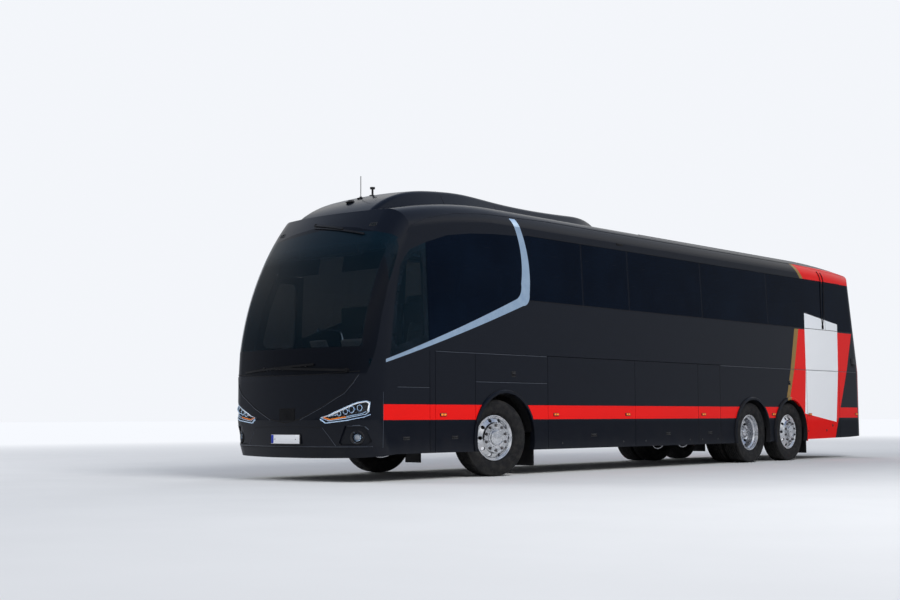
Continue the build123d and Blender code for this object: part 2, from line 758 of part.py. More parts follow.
with BuildPart() as rear_wall:
    add(TAIL_SHELL)
    add(BUMPER_ZONE, mode=Mode.SUBTRACT)
    add(TAIL_LAMP_ZONE, mode=Mode.SUBTRACT)
    add(REAR_GLASS_SEAT, mode=Mode.SUBTRACT)
    add(front_prism(REAR_LIGHT, TAIL_START, TAIL_END, radius=60), mode=Mode.SUBTRACT)
    add(hatch_prism(-DOOR_GAP / 2), mode=Mode.SUBTRACT)
save(rear_wall.part, "rear_wall")

with BuildPart() as engine_hatch:
    add(SHELL)
    add(hatch_prism(DOOR_GAP / 2), mode=Mode.INTERSECT)
    for row in range(LOUVRE_COUNT):
        middle = LOUVRE_LOW + row * LOUVRE_PITCH
        with Locations((0, station(14000), middle)):
            Box(LOUVRE_WIDE, 400, LOUVRE_HIGH, mode=Mode.SUBTRACT)
save(engine_hatch.part, "engine_hatch")

# Running gear: wheel parts are turned from outward offsets and radii. The inner wheel of a
# twin pair is drawn as it stands on the other side, and mirrored
RIM_SECTION = [
    (-112, 302), (-98, 302), (-98, 286), (-60, 284), (-45, 262), (45, 262), (60, 284), (98, 286),
    (98, 302), (112, 302), (112, 288), (92, 268), (128, 212), (150, 196), (150, 100), (172, 94),
    (172, 0), (110, 0), (110, 48), (-20, 48), (-20, 105), (132, 112), (132, 188), (110, 206),
    (74, 258), (45, 250), (-45, 250), (-64, 272), (-112, 288),
]
DISHED_SECTION = [
    (-112, 302), (-98, 302), (-98, 286), (-60, 284), (-45, 262), (45, 262), (60, 284), (98, 286),
    (98, 302), (112, 302), (112, 288), (64, 272), (45, 250), (-62, 250), (-110, 206), (-132, 190),
    (-132, 150), (-20, 118), (20, 96), (20, 0), (-60, 0), (-60, 48), (-300, 48), (-300, 105),
    (-200, 105), (-150, 130), (-150, 196), (-128, 212), (-92, 268), (-112, 288),
]
INNER_SECTION = [
    (-112, 302), (-98, 302), (-98, 286), (-60, 284), (-45, 262), (45, 262), (60, 284), (98, 286),
    (98, 302), (112, 302), (112, 288), (64, 272), (45, 250), (-62, 250), (-110, 206), (-132, 188),
    (-132, 105), (-185, 105), (-185, 196), (-150, 196), (-128, 212), (-92, 268), (-112, 288),
]
TYRE_SECTION = [
    (-98, 286), (-98, 304), (-118, 318), (-147, 372), (-149, 410), (-140, 492), (-122, 508),
    (0, 512), (122, 508), (140, 492), (149, 410), (147, 372), (118, 318), (98, 304), (98, 286),
]
HAND_HOLE_RADIUS = 25.0
HAND_HOLE_CIRCLE = 238.0


def wheel_plane(across, distance, side):
    """Plane through a wheel axis: local X points outwards and local Y upwards."""
    return Plane(origin=(across, station(distance), HUB_HEIGHT), x_dir=(side, 0, 0), z_dir=(0, -side, 0))


def turned(section, across, distance, side):
    """Solid of revolution on a wheel axis."""
    with BuildPart() as solid:
        with BuildSketch(wheel_plane(across, distance, side)):
            with BuildLine():
                Polyline(*section, close=True)
            make_face()
        revolve(axis=Axis((across, station(distance), HUB_HEIGHT), (1, 0, 0)))
    return solid.part


def hand_holes(across, distance, near, far, side):
    """Ring of round holes through a wheel disc."""
    with BuildPart() as holes:
        place = Plane(
            origin=(across + side * near, station(distance), HUB_HEIGHT), x_dir=(0, 1, 0), z_dir=(side, 0, 0)
        )
        with BuildSketch(place):
            with PolarLocations(HAND_HOLE_CIRCLE, HAND_HOLES):
                Circle(HAND_HOLE_RADIUS)
        extrude(amount=far - near)
    return holes.part


def open_rim(across, distance, side):
    """Wheel with its disc near the outer face, as on the front and tag axles."""
    with BuildPart() as rim:
        add(turned(RIM_SECTION, across, distance, side))
        add(hand_holes(across, distance, 66, 160, side), mode=Mode.SUBTRACT)
    return rim.part


def twin_rims(distance, side):
    """Pair of wheels back to back on one hub, the outer one deeply dished."""
    inner = side * INNER_WHEEL_X
    outer = side * OUTER_WHEEL_X
    with BuildPart() as rims:
        add(turned(DISHED_SECTION, outer, distance, side))
        add(turned([(-across, radius) for across, radius in INNER_SECTION], inner, distance, side))
        add(hand_holes(outer, distance, -290, -60, side), mode=Mode.SUBTRACT)
    return rims.part


KINGPINS = {side: Axis((side * KINGPIN_X, station(FRONT_AXLE), 0), (0, 0, 1)) for side in (1, -1)}


def steered(part, side):
    """The part turned with the front wheels as the coach is parked."""
    return part.rotate(KINGPINS[side], -STEER_AT_REST)


def knuckle(side):
    """Steering knuckle: kingpin, upper and lower lugs, upright and stub axle."""
    middle = (side * KINGPIN_X, station(FRONT_AXLE))
    with BuildPart() as solid:
        for low in (66, -106):
            with BuildSketch(Plane.XY.offset(HUB_HEIGHT + low)):
                with Locations(middle):
                    Circle(55)
                    with Locations((side * 50, 0)):
                        Rectangle(100, 100)
            extrude(amount=40)
        with BuildSketch(Plane.XY.offset(HUB_HEIGHT - 106)):
            with Locations((middle[0] + side * 80, middle[1])):
                Rectangle(40, 150)
        extrude(amount=212)
        with BuildSketch(Plane.XY.offset(HUB_HEIGHT - 106)):
            with Locations(middle):
                Circle(PIN_RADIUS)
        extrude(amount=212)
        hub_end = Plane(
            origin=(side * (KINGPIN_X + 60), station(FRONT_AXLE), HUB_HEIGHT), z_dir=(side, 0, 0)
        )
        with BuildSketch(hub_end):
            Circle(STUB_RADIUS)
        extrude(amount=205)
    return solid.part


AXLE_BOSS = 60.0

with BuildPart() as axles:
    for side in (1, -1):
        with BuildSketch(Plane.XY.offset(HUB_HEIGHT - AXLE_BOSS)):
            with Locations((side * KINGPIN_X, station(FRONT_AXLE))):
                Circle(50)
                Circle(PIN_RADIUS + 1, mode=Mode.SUBTRACT)
        extrude(amount=2 * AXLE_BOSS)
    with BuildSketch(Plane.XZ.offset(-station(FRONT_AXLE - 45))):
        with BuildLine():
            Polyline(
                (-885, HUB_HEIGHT + 50), (-885, HUB_HEIGHT - 50), (-700, HUB_HEIGHT - 50), (-560, 330),
                (560, 330), (700, HUB_HEIGHT - 50), (885, HUB_HEIGHT - 50), (885, HUB_HEIGHT + 50),
                (660, HUB_HEIGHT + 50), (520, 440), (-520, 440), (-660, HUB_HEIGHT + 50), close=True,
            )
        make_face()
    extrude(amount=-90)
    for distance, tube, spindle in ((DRIVE_AXLE, 600, 1010), (TAG_AXLE, 900, 1180)):
        hub = (0, station(distance), HUB_HEIGHT)
        with Locations(hub):
            Cylinder(75, 2 * tube, rotation=(0, 90, 0))
            Cylinder(44, 2 * spindle, rotation=(0, 90, 0))
    with Locations((0, station(DRIVE_AXLE), HUB_HEIGHT)):
        Sphere(215)
        with Locations((0, -120, 0)):
            Cylinder(130, 300, rotation=(90, 0, 0))
save(axles.part, "axles")

for side, word in ((1, "left"), (-1, "right")):
    front = side * OUTER_WHEEL_X
    save(steered(knuckle(side), side), f"knuckle_{word}")
    save(steered(turned(TYRE_SECTION, front, FRONT_AXLE, side), side), f"front_tyre_{word}")
    save(steered(open_rim(front, FRONT_AXLE, side), side), f"front_rim_{word}")
    with BuildPart() as twin_tyres:
        for across in (INNER_WHEEL_X, OUTER_WHEEL_X):
            add(turned(TYRE_SECTION, side * across, DRIVE_AXLE, side))
    save(twin_tyres.part, f"drive_tyres_{word}")
    save(twin_rims(DRIVE_AXLE, side), f"drive_rims_{word}")
    save(turned(TYRE_SECTION, front, TAG_AXLE, side), f"tag_tyre_{word}")
    save(open_rim(front, TAG_AXLE, side), f"tag_rim_{word}")

with BuildPart() as engine:
    with Locations((0, station(12750), 900)):
        Box(1000, 1300, 900)
        chamfer(engine.edges().filter_by(Axis.Y), length=90)
save(engine.part, "engine")

# Underframe: the luggage hold in the middle and a ladder frame at each end
RAIL_X = 400.0
RAIL = (80.0, 200.0)
RAIL_BOTTOM = 640.0
BAY_FLOOR = 400.0
BAY_HALF = 1212.0
BULKHEAD_THICK = 40.0
BULKHEADS = [3710.0, 5952.0, 7780.0, 8540.0]
HOLD_START = BULKHEADS[0] - BULKHEAD_THICK / 2
HOLD_END = BULKHEADS[-1] + BULKHEAD_THICK / 2
OUTRIGGERS = [1560.0, 8700.0, 11670.0, 13590.0]
# Uprights from the rails to the floor: station and top
UPRIGHTS = [(360.0, 900.0), (1935.0, 900.0), (3650.0, 1440.0), (8600.0, 1440.0), (11205.0, 1440.0)]
# Air springs: station, distance across, foot
SPRINGS = [(FRONT_AXLE, 430.0, 440.0), (DRIVE_AXLE, 430.0, 545.0), (TAG_AXLE, 430.0, 545.0)]

with BuildPart() as luggage_hold:
    for distance in BULKHEADS:
        with Locations((0, station(distance), (BAY_FLOOR + DECK - 60) / 2)):
            Box(2 * BAY_HALF, BULKHEAD_THICK, DECK - 60 - BAY_FLOOR)
    with Locations((0, station((HOLD_START + HOLD_END) / 2), BAY_FLOOR - 20)):
        Box(2 * BAY_HALF, HOLD_END - HOLD_START, 40)
save(luggage_hold.part, "luggage_hold")


def end_frame(start, end):
    """Two rails with ties, outriggers to the side walls and uprights to the floor."""
    middle = RAIL_BOTTOM + RAIL[1] / 2
    with BuildPart() as frame:
        for side in (1, -1):
            with Locations((side * RAIL_X, station((start + end) / 2), middle)):
                Box(RAIL[0], end - start, RAIL[1])
        for distance in (start + 40, (start + end) / 2, end - 40):
            with Locations((0, station(distance), middle)):
                Box(2 * RAIL_X, 80, 120)
        for distance in OUTRIGGERS:
            if start < distance < end:
                with Locations((0, station(distance), RAIL_BOTTOM)):
                    Box(2 * BAY_HALF, 60, 100)
        for distance, top in UPRIGHTS:
            if start < distance < end:
                with Locations((RAIL_X, station(distance), middle), (-RAIL_X, station(distance), middle)):
                    Box(60, 60, top - middle, align=(Align.CENTER, Align.CENTER, Align.MIN))
        add(axles.part, mode=Mode.SUBTRACT)
        add(engine.part, mode=Mode.SUBTRACT)
    return frame.part


save(end_frame(180.0, HOLD_START), "front_frame")
save(end_frame(HOLD_END, 13850.0), "rear_frame")

with BuildPart() as air_springs:
    for distance, across, low in SPRINGS:
        for side in (1, -1):
            with Locations((side * across, station(distance), low)):
                Cylinder(105, RAIL_BOTTOM - low, align=(Align.CENTER, Align.CENTER, Align.MIN))
    add(axles.part, mode=Mode.SUBTRACT)
save(air_springs.part, "air_springs")

# Cabin floor with the stepped platform of the driver
FLOOR_SIDE = [
    (300, 900), (2080, 900), (2080, 1180), (2260, 1180), (2260, 1440), (13400, 1440), (13400, DECK),
    (2200, DECK), (2200, 1240), (2020, 1240), (2020, DRIVER_FLOOR), (300, DRIVER_FLOOR),
]
# Stairs inside the doors: start and end station, outer edge of the first tread, depth and
# heights of the treads, the last being the floor
FRONT_STAIRS = (480.0, 1440.0, -1180.0, 220.0, [420.0, 600.0, 780.0, DRIVER_FLOOR])
MIDDLE_STAIRS = (7800.0, 8520.0, -1020.0, 180.0, [620.0, 840.0, 1060.0, 1280.0, DECK])


def stairs(start, end, foot, tread, heights):
    """A slab for each tread with a riser behind it."""
    with BuildPart() as flight:
        for row, height in enumerate(heights[:-1]):
            near = foot + tread * row
            add(side_box(start, end, height - 30, height, near, near + tread + 20))
            add(side_box(start, end, height - 30, heights[row + 1], near + tread, near + tread + 20))
    return flight.part


with BuildPart() as cabin_floor:
    add(side_prism(FLOOR_SIDE, -1300, 1300))
    for start, end, foot, tread, heights in (FRONT_STAIRS, MIDDLE_STAIRS):
        inside = foot + tread * (len(heights) - 1)
        add(side_box(start, end, heights[-1] - 100, heights[-1] + 20, -1500, inside), mode=Mode.SUBTRACT)
        add(stairs(start, end, foot, tread, heights))
    start, end, foot, tread, heights = MIDDLE_STAIRS
    add(side_box(start, end, BAY_FLOOR, heights[0], foot, foot + 20))
    add(side_box(MIDDLE_ARM[0] - 40, end, DECK - 60, DECK, -1212, -1080))
    start, end, foot, tread, heights = FRONT_STAIRS
    for edge in (start - 20, end):
        add(side_box(edge, edge + 20, heights[0] - 30, DRIVER_FLOOR, -1212, foot + 3 * tread + 20))
    add(CABIN, mode=Mode.INTERSECT)
save(cabin_floor.part, "cabin_floor")

DASH_SIDE = [(120, DRIVER_FLOOR), (640, DRIVER_FLOOR), (800, 1320), (790, 1560), (560, 1640), (120, 1600)]
WHEEL_PLACE = (550.0, 1010.0, 1730.0)
WHEEL_RIM = 225.0
WHEEL_TILT = 28.0

with BuildPart() as dashboard:
    add(side_prism(DASH_SIDE, -1300, 1300))
    add(side_box(455, 1500, 900, 1700, -1500, -450), mode=Mode.SUBTRACT)
    post_head = FRONT_ARM[3]
    add(side_box(400, FRONT_ARM[0] + 40, post_head, post_head + 30, -POST_X - 40, -POST_X + 40))
    add(CABIN, mode=Mode.INTERSECT)
save(dashboard.part, "dashboard")

across, distance, height = WHEEL_PLACE
STEERING_PLANE = Plane(
    origin=(across, station(distance), height), x_dir=(1, 0, 0),
    z_dir=(0, math.sin(math.radians(WHEEL_TILT)), math.cos(math.radians(WHEEL_TILT))),
)

with BuildPart(STEERING_PLANE) as steering_wheel:
    Torus(WHEEL_RIM, 15)
    Cylinder(50, 40)
    with PolarLocations(WHEEL_RIM / 2 + 15, 3, start_angle=90):
        Box(WHEEL_RIM - 30, 34, 12)
    Cylinder(24, 120, align=(Align.CENTER, Align.CENTER, Align.MAX))
save(steering_wheel.part, "steering_wheel")

SEAT_WIDE = 480.0
SEAT_SIDE = [(0, 330), (470, 330), (640, 1120), (540, 1140), (410, 470), (0, 450)]
SEAT_LEGS = [(110, 0), (390, 0), (390, 330), (110, 330)]
SEAT_ROWS = 13
SEAT_START = 2900.0
SEAT_PITCH = 800.0
PAIR_X = 690.0
PAIR_WIDE = 960.0


def seat(distance, floor, across, wide):
    """Seat facing the nose: cushion, leaning back and a solid pedestal."""
    with BuildPart() as solid:
        for points, narrow in ((SEAT_SIDE, 0), (SEAT_LEGS, 140)):
            with BuildSketch(Plane.YZ.offset(across - wide / 2 + narrow)):
                with BuildLine():
                    places = [(station(distance + along), floor + height) for along, height in points]
                    Polyline(*places, close=True)
                make_face()
            extrude(amount=wide - 2 * narrow)
    return solid.part


save(seat(1380, DRIVER_FLOOR, WHEEL_PLACE[0], SEAT_WIDE), "driver_seat")

with BuildPart() as passenger_seats:
    for row in range(SEAT_ROWS):
        for side in (-1, 1):
            place = SEAT_START + row * SEAT_PITCH
            if side == 1 or not MIDDLE_DOOR[0] - 700 < place < MIDDLE_DOOR[1]:
                add(seat(place, DECK, side * PAIR_X, PAIR_WIDE))
save(passenger_seats.part, "passenger_seats")


def door_arm(distance, reach, foot, head):
    """Upright post with two arms that reach along the coach to the pins of a leaf."""
    with BuildPart() as arm:
        with BuildSketch(Plane.XY.offset(foot)):
            with Locations((-POST_X, station(distance))):
                Circle(POST_RADIUS)
        extrude(amount=head - foot)
        for height in ARM_HEIGHTS:
            with BuildSketch(Plane.XY.offset(height - ARM_THICK / 2)):
                with Locations((-POST_X, station(distance + reach / 2))):
                    SlotCenterToCenter(abs(reach), 2 * POST_RADIUS, rotation=90)
                with Locations((-POST_X, station(distance + reach))):
                    Circle(ARM_PIN + 1, mode=Mode.SUBTRACT)
            extrude(amount=ARM_THICK)
    return arm.part


save(door_arm(*FRONT_ARM), "front_door_arm")
save(door_arm(*MIDDLE_ARM), "middle_door_arm")

# Mud flaps: station of the front face, top, and how far a hanger runs back to its bulkhead
FLAP_THICK = 24.0
MUD_FLAPS = [(3498.0, 540.0, 168.0), (11616.0, 640.0, 0.0)]

with BuildPart() as mud_flaps:
    for distance, top, hanger in MUD_FLAPS:
        for near in (905, -1205):
            add(side_box(distance, distance + FLAP_THICK, 120, top, near, near + 300))
            if hanger:
                add(side_box(distance, distance + FLAP_THICK + hanger, top - 30, top, near, near + 300))
save(mud_flaps.part, "mud_flaps")

# Wipers: each strip follows the glass between two places given in X and height
BLADES = [((-850.0, 1372.0), (500.0, 1446.0)), ((-150.0, 3268.0), (800.0, 3100.0))]
WIPER_ARMS = [((-175.0, 1405.0), (985.0, 1362.0)), ((-140.0, 3288.0), (420.0, 3186.0))]
PIVOTS = [(985.0, 1362.0), (-140.0, 3288.0)]
# Near and far distance of a strip from the glass, and its width
BLADE_LAYER = (3.0, 16.0, 26.0)
ARM_LAYER = (14.0, WIPER_PROUD + 1.0, 30.0)
PIVOT_RADIUS = 26.0
PIVOT_DEPTH = 60.0


def glass_point(across, height):
    """Place on the front glass between its corner radii."""
    bow = NOSE_RADIUS - math.sqrt(NOSE_RADIUS**2 - across**2)
    return Vector(across, NOSE + nose_setback(height) + bow, height)


def local_place(place, centre, along, outwards, lift):
    """A place in the plane of a strip, lifted off the glass."""
    gap = place - centre
    return (gap.dot(along), gap.dot(outwards) + lift)


def strip(start, end, layer):
    """Curved strip over the glass: its near and far distance from it, and its width."""
    near, far, wide = layer
    middle = ((start[0] + end[0]) / 2, (start[1] + end[1]) / 2)
    first, centre, last = glass_point(*start), glass_point(*middle), glass_point(*end)
    along = (last - first).normalized()
    slope = (middle[1] - NOSE_PLUMB[1]) / NOSE_ARC
    bulge = middle[0] / NOSE_RADIUS
    outwards = Vector(bulge, -math.sqrt(1 - slope**2), slope).normalized()
    edges = []
    for lift in (near, far):
        edges.append([local_place(p, centre, along, outwards, lift) for p in (first, centre, last)])
    with BuildPart() as solid:
        with BuildSketch(Plane(origin=centre, x_dir=along, z_dir=along.cross(outwards))):
            with BuildLine():
                low = ThreePointArc(*edges[0])
                high = ThreePointArc(*edges[1])
                Line(low @ 0, high @ 0)
                Line(low @ 1, high @ 1)
            make_face()
        extrude(amount=wide / 2, both=True)
    return solid.part


with BuildPart() as wipers:
    for start, end in BLADES:
        add(strip(start, end, BLADE_LAYER))
    for start, end in WIPER_ARMS:
        add(strip(start, end, ARM_LAYER))
    for across, height in PIVOTS:
        place = glass_point(across, height)
        with Locations((across, place.Y + PIVOT_DEPTH, height)):
            Cylinder(
                PIVOT_RADIUS,
                PIVOT_DEPTH + WIPER_PROUD - 2,
                rotation=(90, 0, 0),
                align=(Align.CENTER, Align.CENTER, Align.MIN),
            )
    add(SKIN, mode=Mode.SUBTRACT)
save(wipers.part, "wipers")
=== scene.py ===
import json
import math

import bmesh
import bpy
from bpy.props import FloatProperty, FloatVectorProperty, IntProperty, PointerProperty
from mathutils import Matrix, Vector
from mathutils.bvhtree import BVHTree


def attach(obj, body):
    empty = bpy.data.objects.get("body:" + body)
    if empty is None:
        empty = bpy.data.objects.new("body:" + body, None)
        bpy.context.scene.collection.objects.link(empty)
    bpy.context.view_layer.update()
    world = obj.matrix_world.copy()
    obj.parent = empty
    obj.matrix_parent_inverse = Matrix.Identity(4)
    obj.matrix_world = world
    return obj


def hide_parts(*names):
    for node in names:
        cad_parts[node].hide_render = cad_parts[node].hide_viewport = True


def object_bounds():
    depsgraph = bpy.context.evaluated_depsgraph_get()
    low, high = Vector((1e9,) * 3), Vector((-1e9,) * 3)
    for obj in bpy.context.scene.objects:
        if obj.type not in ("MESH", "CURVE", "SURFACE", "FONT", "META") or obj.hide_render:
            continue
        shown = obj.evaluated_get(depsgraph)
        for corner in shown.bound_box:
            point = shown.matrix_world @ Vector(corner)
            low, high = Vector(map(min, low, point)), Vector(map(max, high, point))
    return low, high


bl_info = {
    "name": "Coach dressing",
    "version": (1, 0, 0),
    "blender": (4, 5, 0),
    "location": "View3D > Sidebar > Coach",
    "description": "Paint, glass, wheels, lamps, seats and fittings for the packed coach",
    "category": "Object",
}

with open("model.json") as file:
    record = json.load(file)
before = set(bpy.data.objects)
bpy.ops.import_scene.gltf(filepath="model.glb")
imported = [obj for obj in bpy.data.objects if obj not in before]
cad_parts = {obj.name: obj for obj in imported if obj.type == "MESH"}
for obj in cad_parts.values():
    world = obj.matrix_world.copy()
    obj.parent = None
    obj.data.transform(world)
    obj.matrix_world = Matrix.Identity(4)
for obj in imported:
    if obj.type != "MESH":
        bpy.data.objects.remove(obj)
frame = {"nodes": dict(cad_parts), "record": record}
NODES = frame["nodes"]
CAD_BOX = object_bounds()

# Y of the nose: a station is a distance back from it, in metres
NOSE_Y = -7.023
# Half width below the shoulder, height of the shoulder and lean of the side above it
HALF_WIDTH = 1.275
SHOULDER = 1.634
LEAN = 0.0484
LEFT, RIGHT = 1, -1
SIDES = (("left", LEFT), ("right", RIGHT))
ORIGIN = (0.0, 0.0, 0.0)
X_AXIS = (1.0, 0.0, 0.0)
Y_AXIS = (0.0, 1.0, 0.0)
Z_AXIS = (0.0, 0.0, 1.0)
FORWARDS = (0.0, -1.0, 0.0)


def station(distance):
    """Y coordinate of a place measured back from the nose."""
    return NOSE_Y + distance


def side_x(height):
    """Half width of the body at a height."""
    return HALF_WIDTH - max(0.0, height - SHOULDER) * LEAN


# Settings shown in the sidebar


class CoachPaint(bpy.types.PropertyGroup):
    """Colours and heights of the coach's paint."""

    base: FloatVectorProperty(
        name="Body", description="Anthracite of the body", subtype="COLOR", default=(0.0046, 0.0060, 0.0100)
    )
    stripe: FloatVectorProperty(
        name="Stripe", description="Red of stripe and bands", subtype="COLOR", default=(0.72, 0.006, 0.004)
    )
    gold: FloatVectorProperty(
        name="Edging", description="Gold beside the red bands", subtype="COLOR", default=(0.27, 0.165, 0.045)
    )
    stripe_low: FloatProperty(
        name="Stripe foot", description="Lower edge of the stripe", unit="LENGTH", default=0.757
    )
    stripe_high: FloatProperty(
        name="Stripe top", description="Upper edge of the stripe", unit="LENGTH", default=0.949
    )


class CoachWheels(bpy.types.PropertyGroup):
    """Sizes of the tyres and wheel nuts."""

    radius: FloatProperty(name="Tyre radius", description="Radius of the tread", unit="LENGTH", default=0.512)
    groove: FloatProperty(
        name="Groove depth", description="Depth of the tread grooves", unit="LENGTH", default=0.014
    )
    nuts: IntProperty(name="Nuts", description="Wheel nuts on each wheel", default=10, min=4, max=12)
    nut_circle: FloatProperty(
        name="Nut circle", description="Radius of the circle of nuts", unit="LENGTH", default=0.1675
    )


class CoachSeats(bpy.types.PropertyGroup):
    """Layout of the passenger seats."""

    rows: IntProperty(name="Rows", description="Rows of seats", default=13, min=1, max=16)
    pitch: FloatProperty(name="Pitch", description="Distance between rows", unit="LENGTH", default=0.8)
    cloth: FloatVectorProperty(
        name="Cloth", description="Colour of the seat cloth", subtype="COLOR", default=(0.030, 0.030, 0.034)
    )


class CoachStage(bpy.types.PropertyGroup):
    """Camera and light of the studio."""

    lens: FloatProperty(name="Lens", description="Focal length", unit="CAMERA", default=54.78)
    yaw: FloatProperty(name="Yaw", description="Turn of the camera in degrees", default=41.20)
    pitch: FloatProperty(name="Pitch", description="Upward tilt in degrees", default=4.91)
    roll: FloatProperty(name="Roll", description="Roll in degrees", default=-0.21)
    place: FloatVectorProperty(
        name="Place", description="Place of the camera", subtype="TRANSLATION",
        default=(12.881, -18.585, 0.783),
    )
    fill: FloatProperty(name="Fill light", description="Strength of the surrounding light", default=0.85)
    lamps: FloatProperty(name="Lamps", description="Strength of the lamps", default=1.0)


# Materials


class Signal:
    """A shader socket that takes part in sums; each sum adds a Math node."""

    def __init__(self, net, socket):
        self.net = net
        self.socket = socket

    def __add__(self, other):
        return self.net.math("ADD", self, other)

    def __radd__(self, other):
        return self.net.math("ADD", other, self)

    def __sub__(self, other):
        return self.net.math("SUBTRACT", self, other)

    def __rsub__(self, other):
        return self.net.math("SUBTRACT", other, self)

    def __mul__(self, other):
        return self.net.math("MULTIPLY", self, other)

    def __gt__(self, other):
        return self.net.math("GREATER_THAN", self, other)

    def __lt__(self, other):
        return self.net.math("LESS_THAN", self, other)

    def __abs__(self):
        return self.net.math("ABSOLUTE", self)


class Net:
    """A node tree in the making."""

    def __init__(self, tree):
        self.tree = tree

    def add(self, kind, settings=None, values=None):
        """Add a node: its settings first, then the values or links of its sockets."""
        node = self.tree.nodes.new("ShaderNode" + kind)
        for key, value in (settings or {}).items():
            if key == "stops":
                stops = node.color_ramp.elements
                while len(stops) < len(value):
                    stops.new(1.0)
                for stop, (place, colour) in zip(stops, value):
                    stop.position = place
                    stop.color = (*colour, 1.0)
            else:
                setattr(node, key, value)
        for key, value in (values or {}).items():
            self.feed(value, node.inputs[key])
        return node

    def signal(self, kind, output, settings=None, values=None):
        """Add a node and hand on one of its outputs."""
        return Signal(self, self.add(kind, settings, values).outputs[output])

    def feed(self, value, socket):
        """Link a signal to a socket or set its value."""
        if isinstance(value, Signal):
            self.tree.links.new(value.socket, socket)
        elif isinstance(value, tuple) and len(socket.default_value) == 4:
            socket.default_value = (*value, 1.0)[:4]
        else:
            socket.default_value = value

    def math(self, operation, *values):
        return self.signal("Math", 0, {"operation": operation}, dict(enumerate(values)))

    def split(self, vector):
        """The three parts of a vector as signals."""
        return [Signal(self, output) for output in self.add("SeparateXYZ", None, {0: vector}).outputs]

    def fade(self, value, low, high, start=0.0, end=1.0):
        """Map a range of a signal onto another, held at its ends."""
        values = {"Value": value, "From Min": low, "From Max": high, "To Min": start, "To Max": end}
        return self.signal("MapRange", 0, None, values)

    def mix(self, factor, first, second):
        """Blend two colours."""
        return self.signal("Mix", 2, {"data_type": "RGBA"}, {0: factor, 6: first, 7: second})


class Finish(Net):
    """A material in the making, with one Principled shader at its end."""

    def __init__(self, name, colour, **constants):
        self.material = bpy.data.materials.new(name)
        self.material.use_nodes = True
        super().__init__(self.material.node_tree)
        self.shader = self.tree.nodes["Principled BSDF"]
        self.shader.inputs["Base Color"].default_value = (*colour, 1.0)
        for key, value in constants.items():
            self.shader.inputs[key.replace("_", " ").title().replace("Ior", "IOR")].default_value = value
        self.material.diffuse_color = (*colour, 1.0)
        coords = self.add("TexCoord").outputs
        self.object, self.normal = Signal(self, coords["Object"]), Signal(self, coords["Normal"])

    def noise(self, scale, detail=3.0, rough=0.5, vector=None):
        """Cloudy pattern between 0 and 1."""
        values = {"Vector": vector or self.object, "Scale": scale, "Detail": detail, "Roughness": rough}
        return self.signal("TexNoise", "Fac", None, values)

    def cloud(self, scale, detail, low, high, start=0.0, end=1.0):
        """Cloudy pattern whose middle range is spread between two values."""
        return self.fade(self.noise(scale, detail), low, high, start, end)

    def cells(self, scale):
        """Distance to the nearest of many scattered points."""
        return self.signal("TexVoronoi", "Distance", None, {"Vector": self.object, "Scale": scale})

    def waves(self, direction, scale, distortion=0.0):
        """Even bands across one direction."""
        values = {"Scale": scale, "Distortion": distortion, "Vector": self.object}
        return self.signal("TexWave", "Fac", {"bands_direction": direction}, values)

    def rim(self, blend):
        """0 where the surface is seen head on, rising to 1 at its edge."""
        return self.signal("LayerWeight", "Facing", None, {"Blend": blend})

    def front(self):
        """1 on the outer side of a pane and 0 on its inner side."""
        return 1.0 - self.signal("NewGeometry", "Backfacing")

    def bump(self, height, distance, strength=1.0):
        """Raise the surface by a signal."""
        values = {"Height": height, "Distance": distance, "Strength": strength}
        self.drive("Normal", self.signal("Bump", 0, None, values))

    def drive(self, socket, signal):
        """Feed one socket of the shader."""
        self.feed(signal, self.shader.inputs[socket])


# Lines that bound the livery of each side: top and foot as stations and heights
BAND_GOLD_FRONT = ((11.215, 2.366), (10.790, 1.078))
BAND_GOLD_BACK = ((11.372, 2.366), (10.915, 1.078))
BAND_REAR = ((13.560, 2.370), (12.739, 0.484))
BOARD_FRONT = ((11.644, 2.681), (11.493, 0.835))
BOARD_REAR = ((12.977, 2.529), (12.757, 0.678))
ROOF_GOLD_FRONT = ((11.355, 3.529), (11.572, 3.316))
ROOF_GOLD_BACK = ((11.470, 3.529), (11.690, 3.316))
# Wheel arches: station and height of the centre and radius of the outer lip, which stays dark
ARCH_LIPS = [(2.810, 0.500, 0.658), (9.545, 0.505, 0.616), (10.931, 0.505, 0.625)]
# The side walls lie further out than this, and the first and last stations of the stripe
FLANK_X = 1.1
STRIPE_ENDS = (0.46, 13.685)
# Top of the slanted rear band and foot of its gold edging
BAND_TOP = 2.372
GOLD_FOOT = 0.95
# Foot and top of the red band on the roof's edge, its distance from the middle and last station
ROOF_BAND = (3.285, 3.575)
ROOF_BAND_X = 0.95
ROOF_BAND_END = 13.93
# Road dust fades out between these heights
DUST_Z = (0.28, 0.75)
# Last station of the windscreen's face
SCREEN_END = 0.9
# Printed border of the windscreen: its foot, inner and outer ends, head and the head's fall per metre
BORDER_FOOT = 1.652
BORDER_ENDS = (1.135, 1.24)
BORDER_HEAD = 3.205
BORDER_FALL = 0.09
# Heights between which the tinted upper band of the windscreen darkens
TINT_Z = (2.75, 3.0)
# Opacity of the dark panes: their real tint, made near-black as a painted shade of the cabin behind them
DARK_ALPHA = 0.985


def behind(y, z, line):
    """1 where a place lies behind a sloping line, which is given by its two ends."""
    (top, high), (foot, low) = line
    slope = (foot - top) / (low - high)
    return y > (z * slope + (station(top) - high * slope))


def under(y, z, line):
    """1 where a place lies below a line that runs from front to rear."""
    (start, first), (end, last) = line
    slope = (last - first) / (end - start)
    return z < (y * slope + (first - station(start) * slope))


def board(y, z):
    """1 on the blank white panel at the rear of each side."""
    edges = behind(y, z, BOARD_FRONT) * (1.0 - behind(y, z, BOARD_REAR))
    top = under(y, z, (BOARD_FRONT[0], BOARD_REAR[0]))
    foot = 1.0 - under(y, z, (BOARD_FRONT[1], BOARD_REAR[1]))
    return edges * top * foot


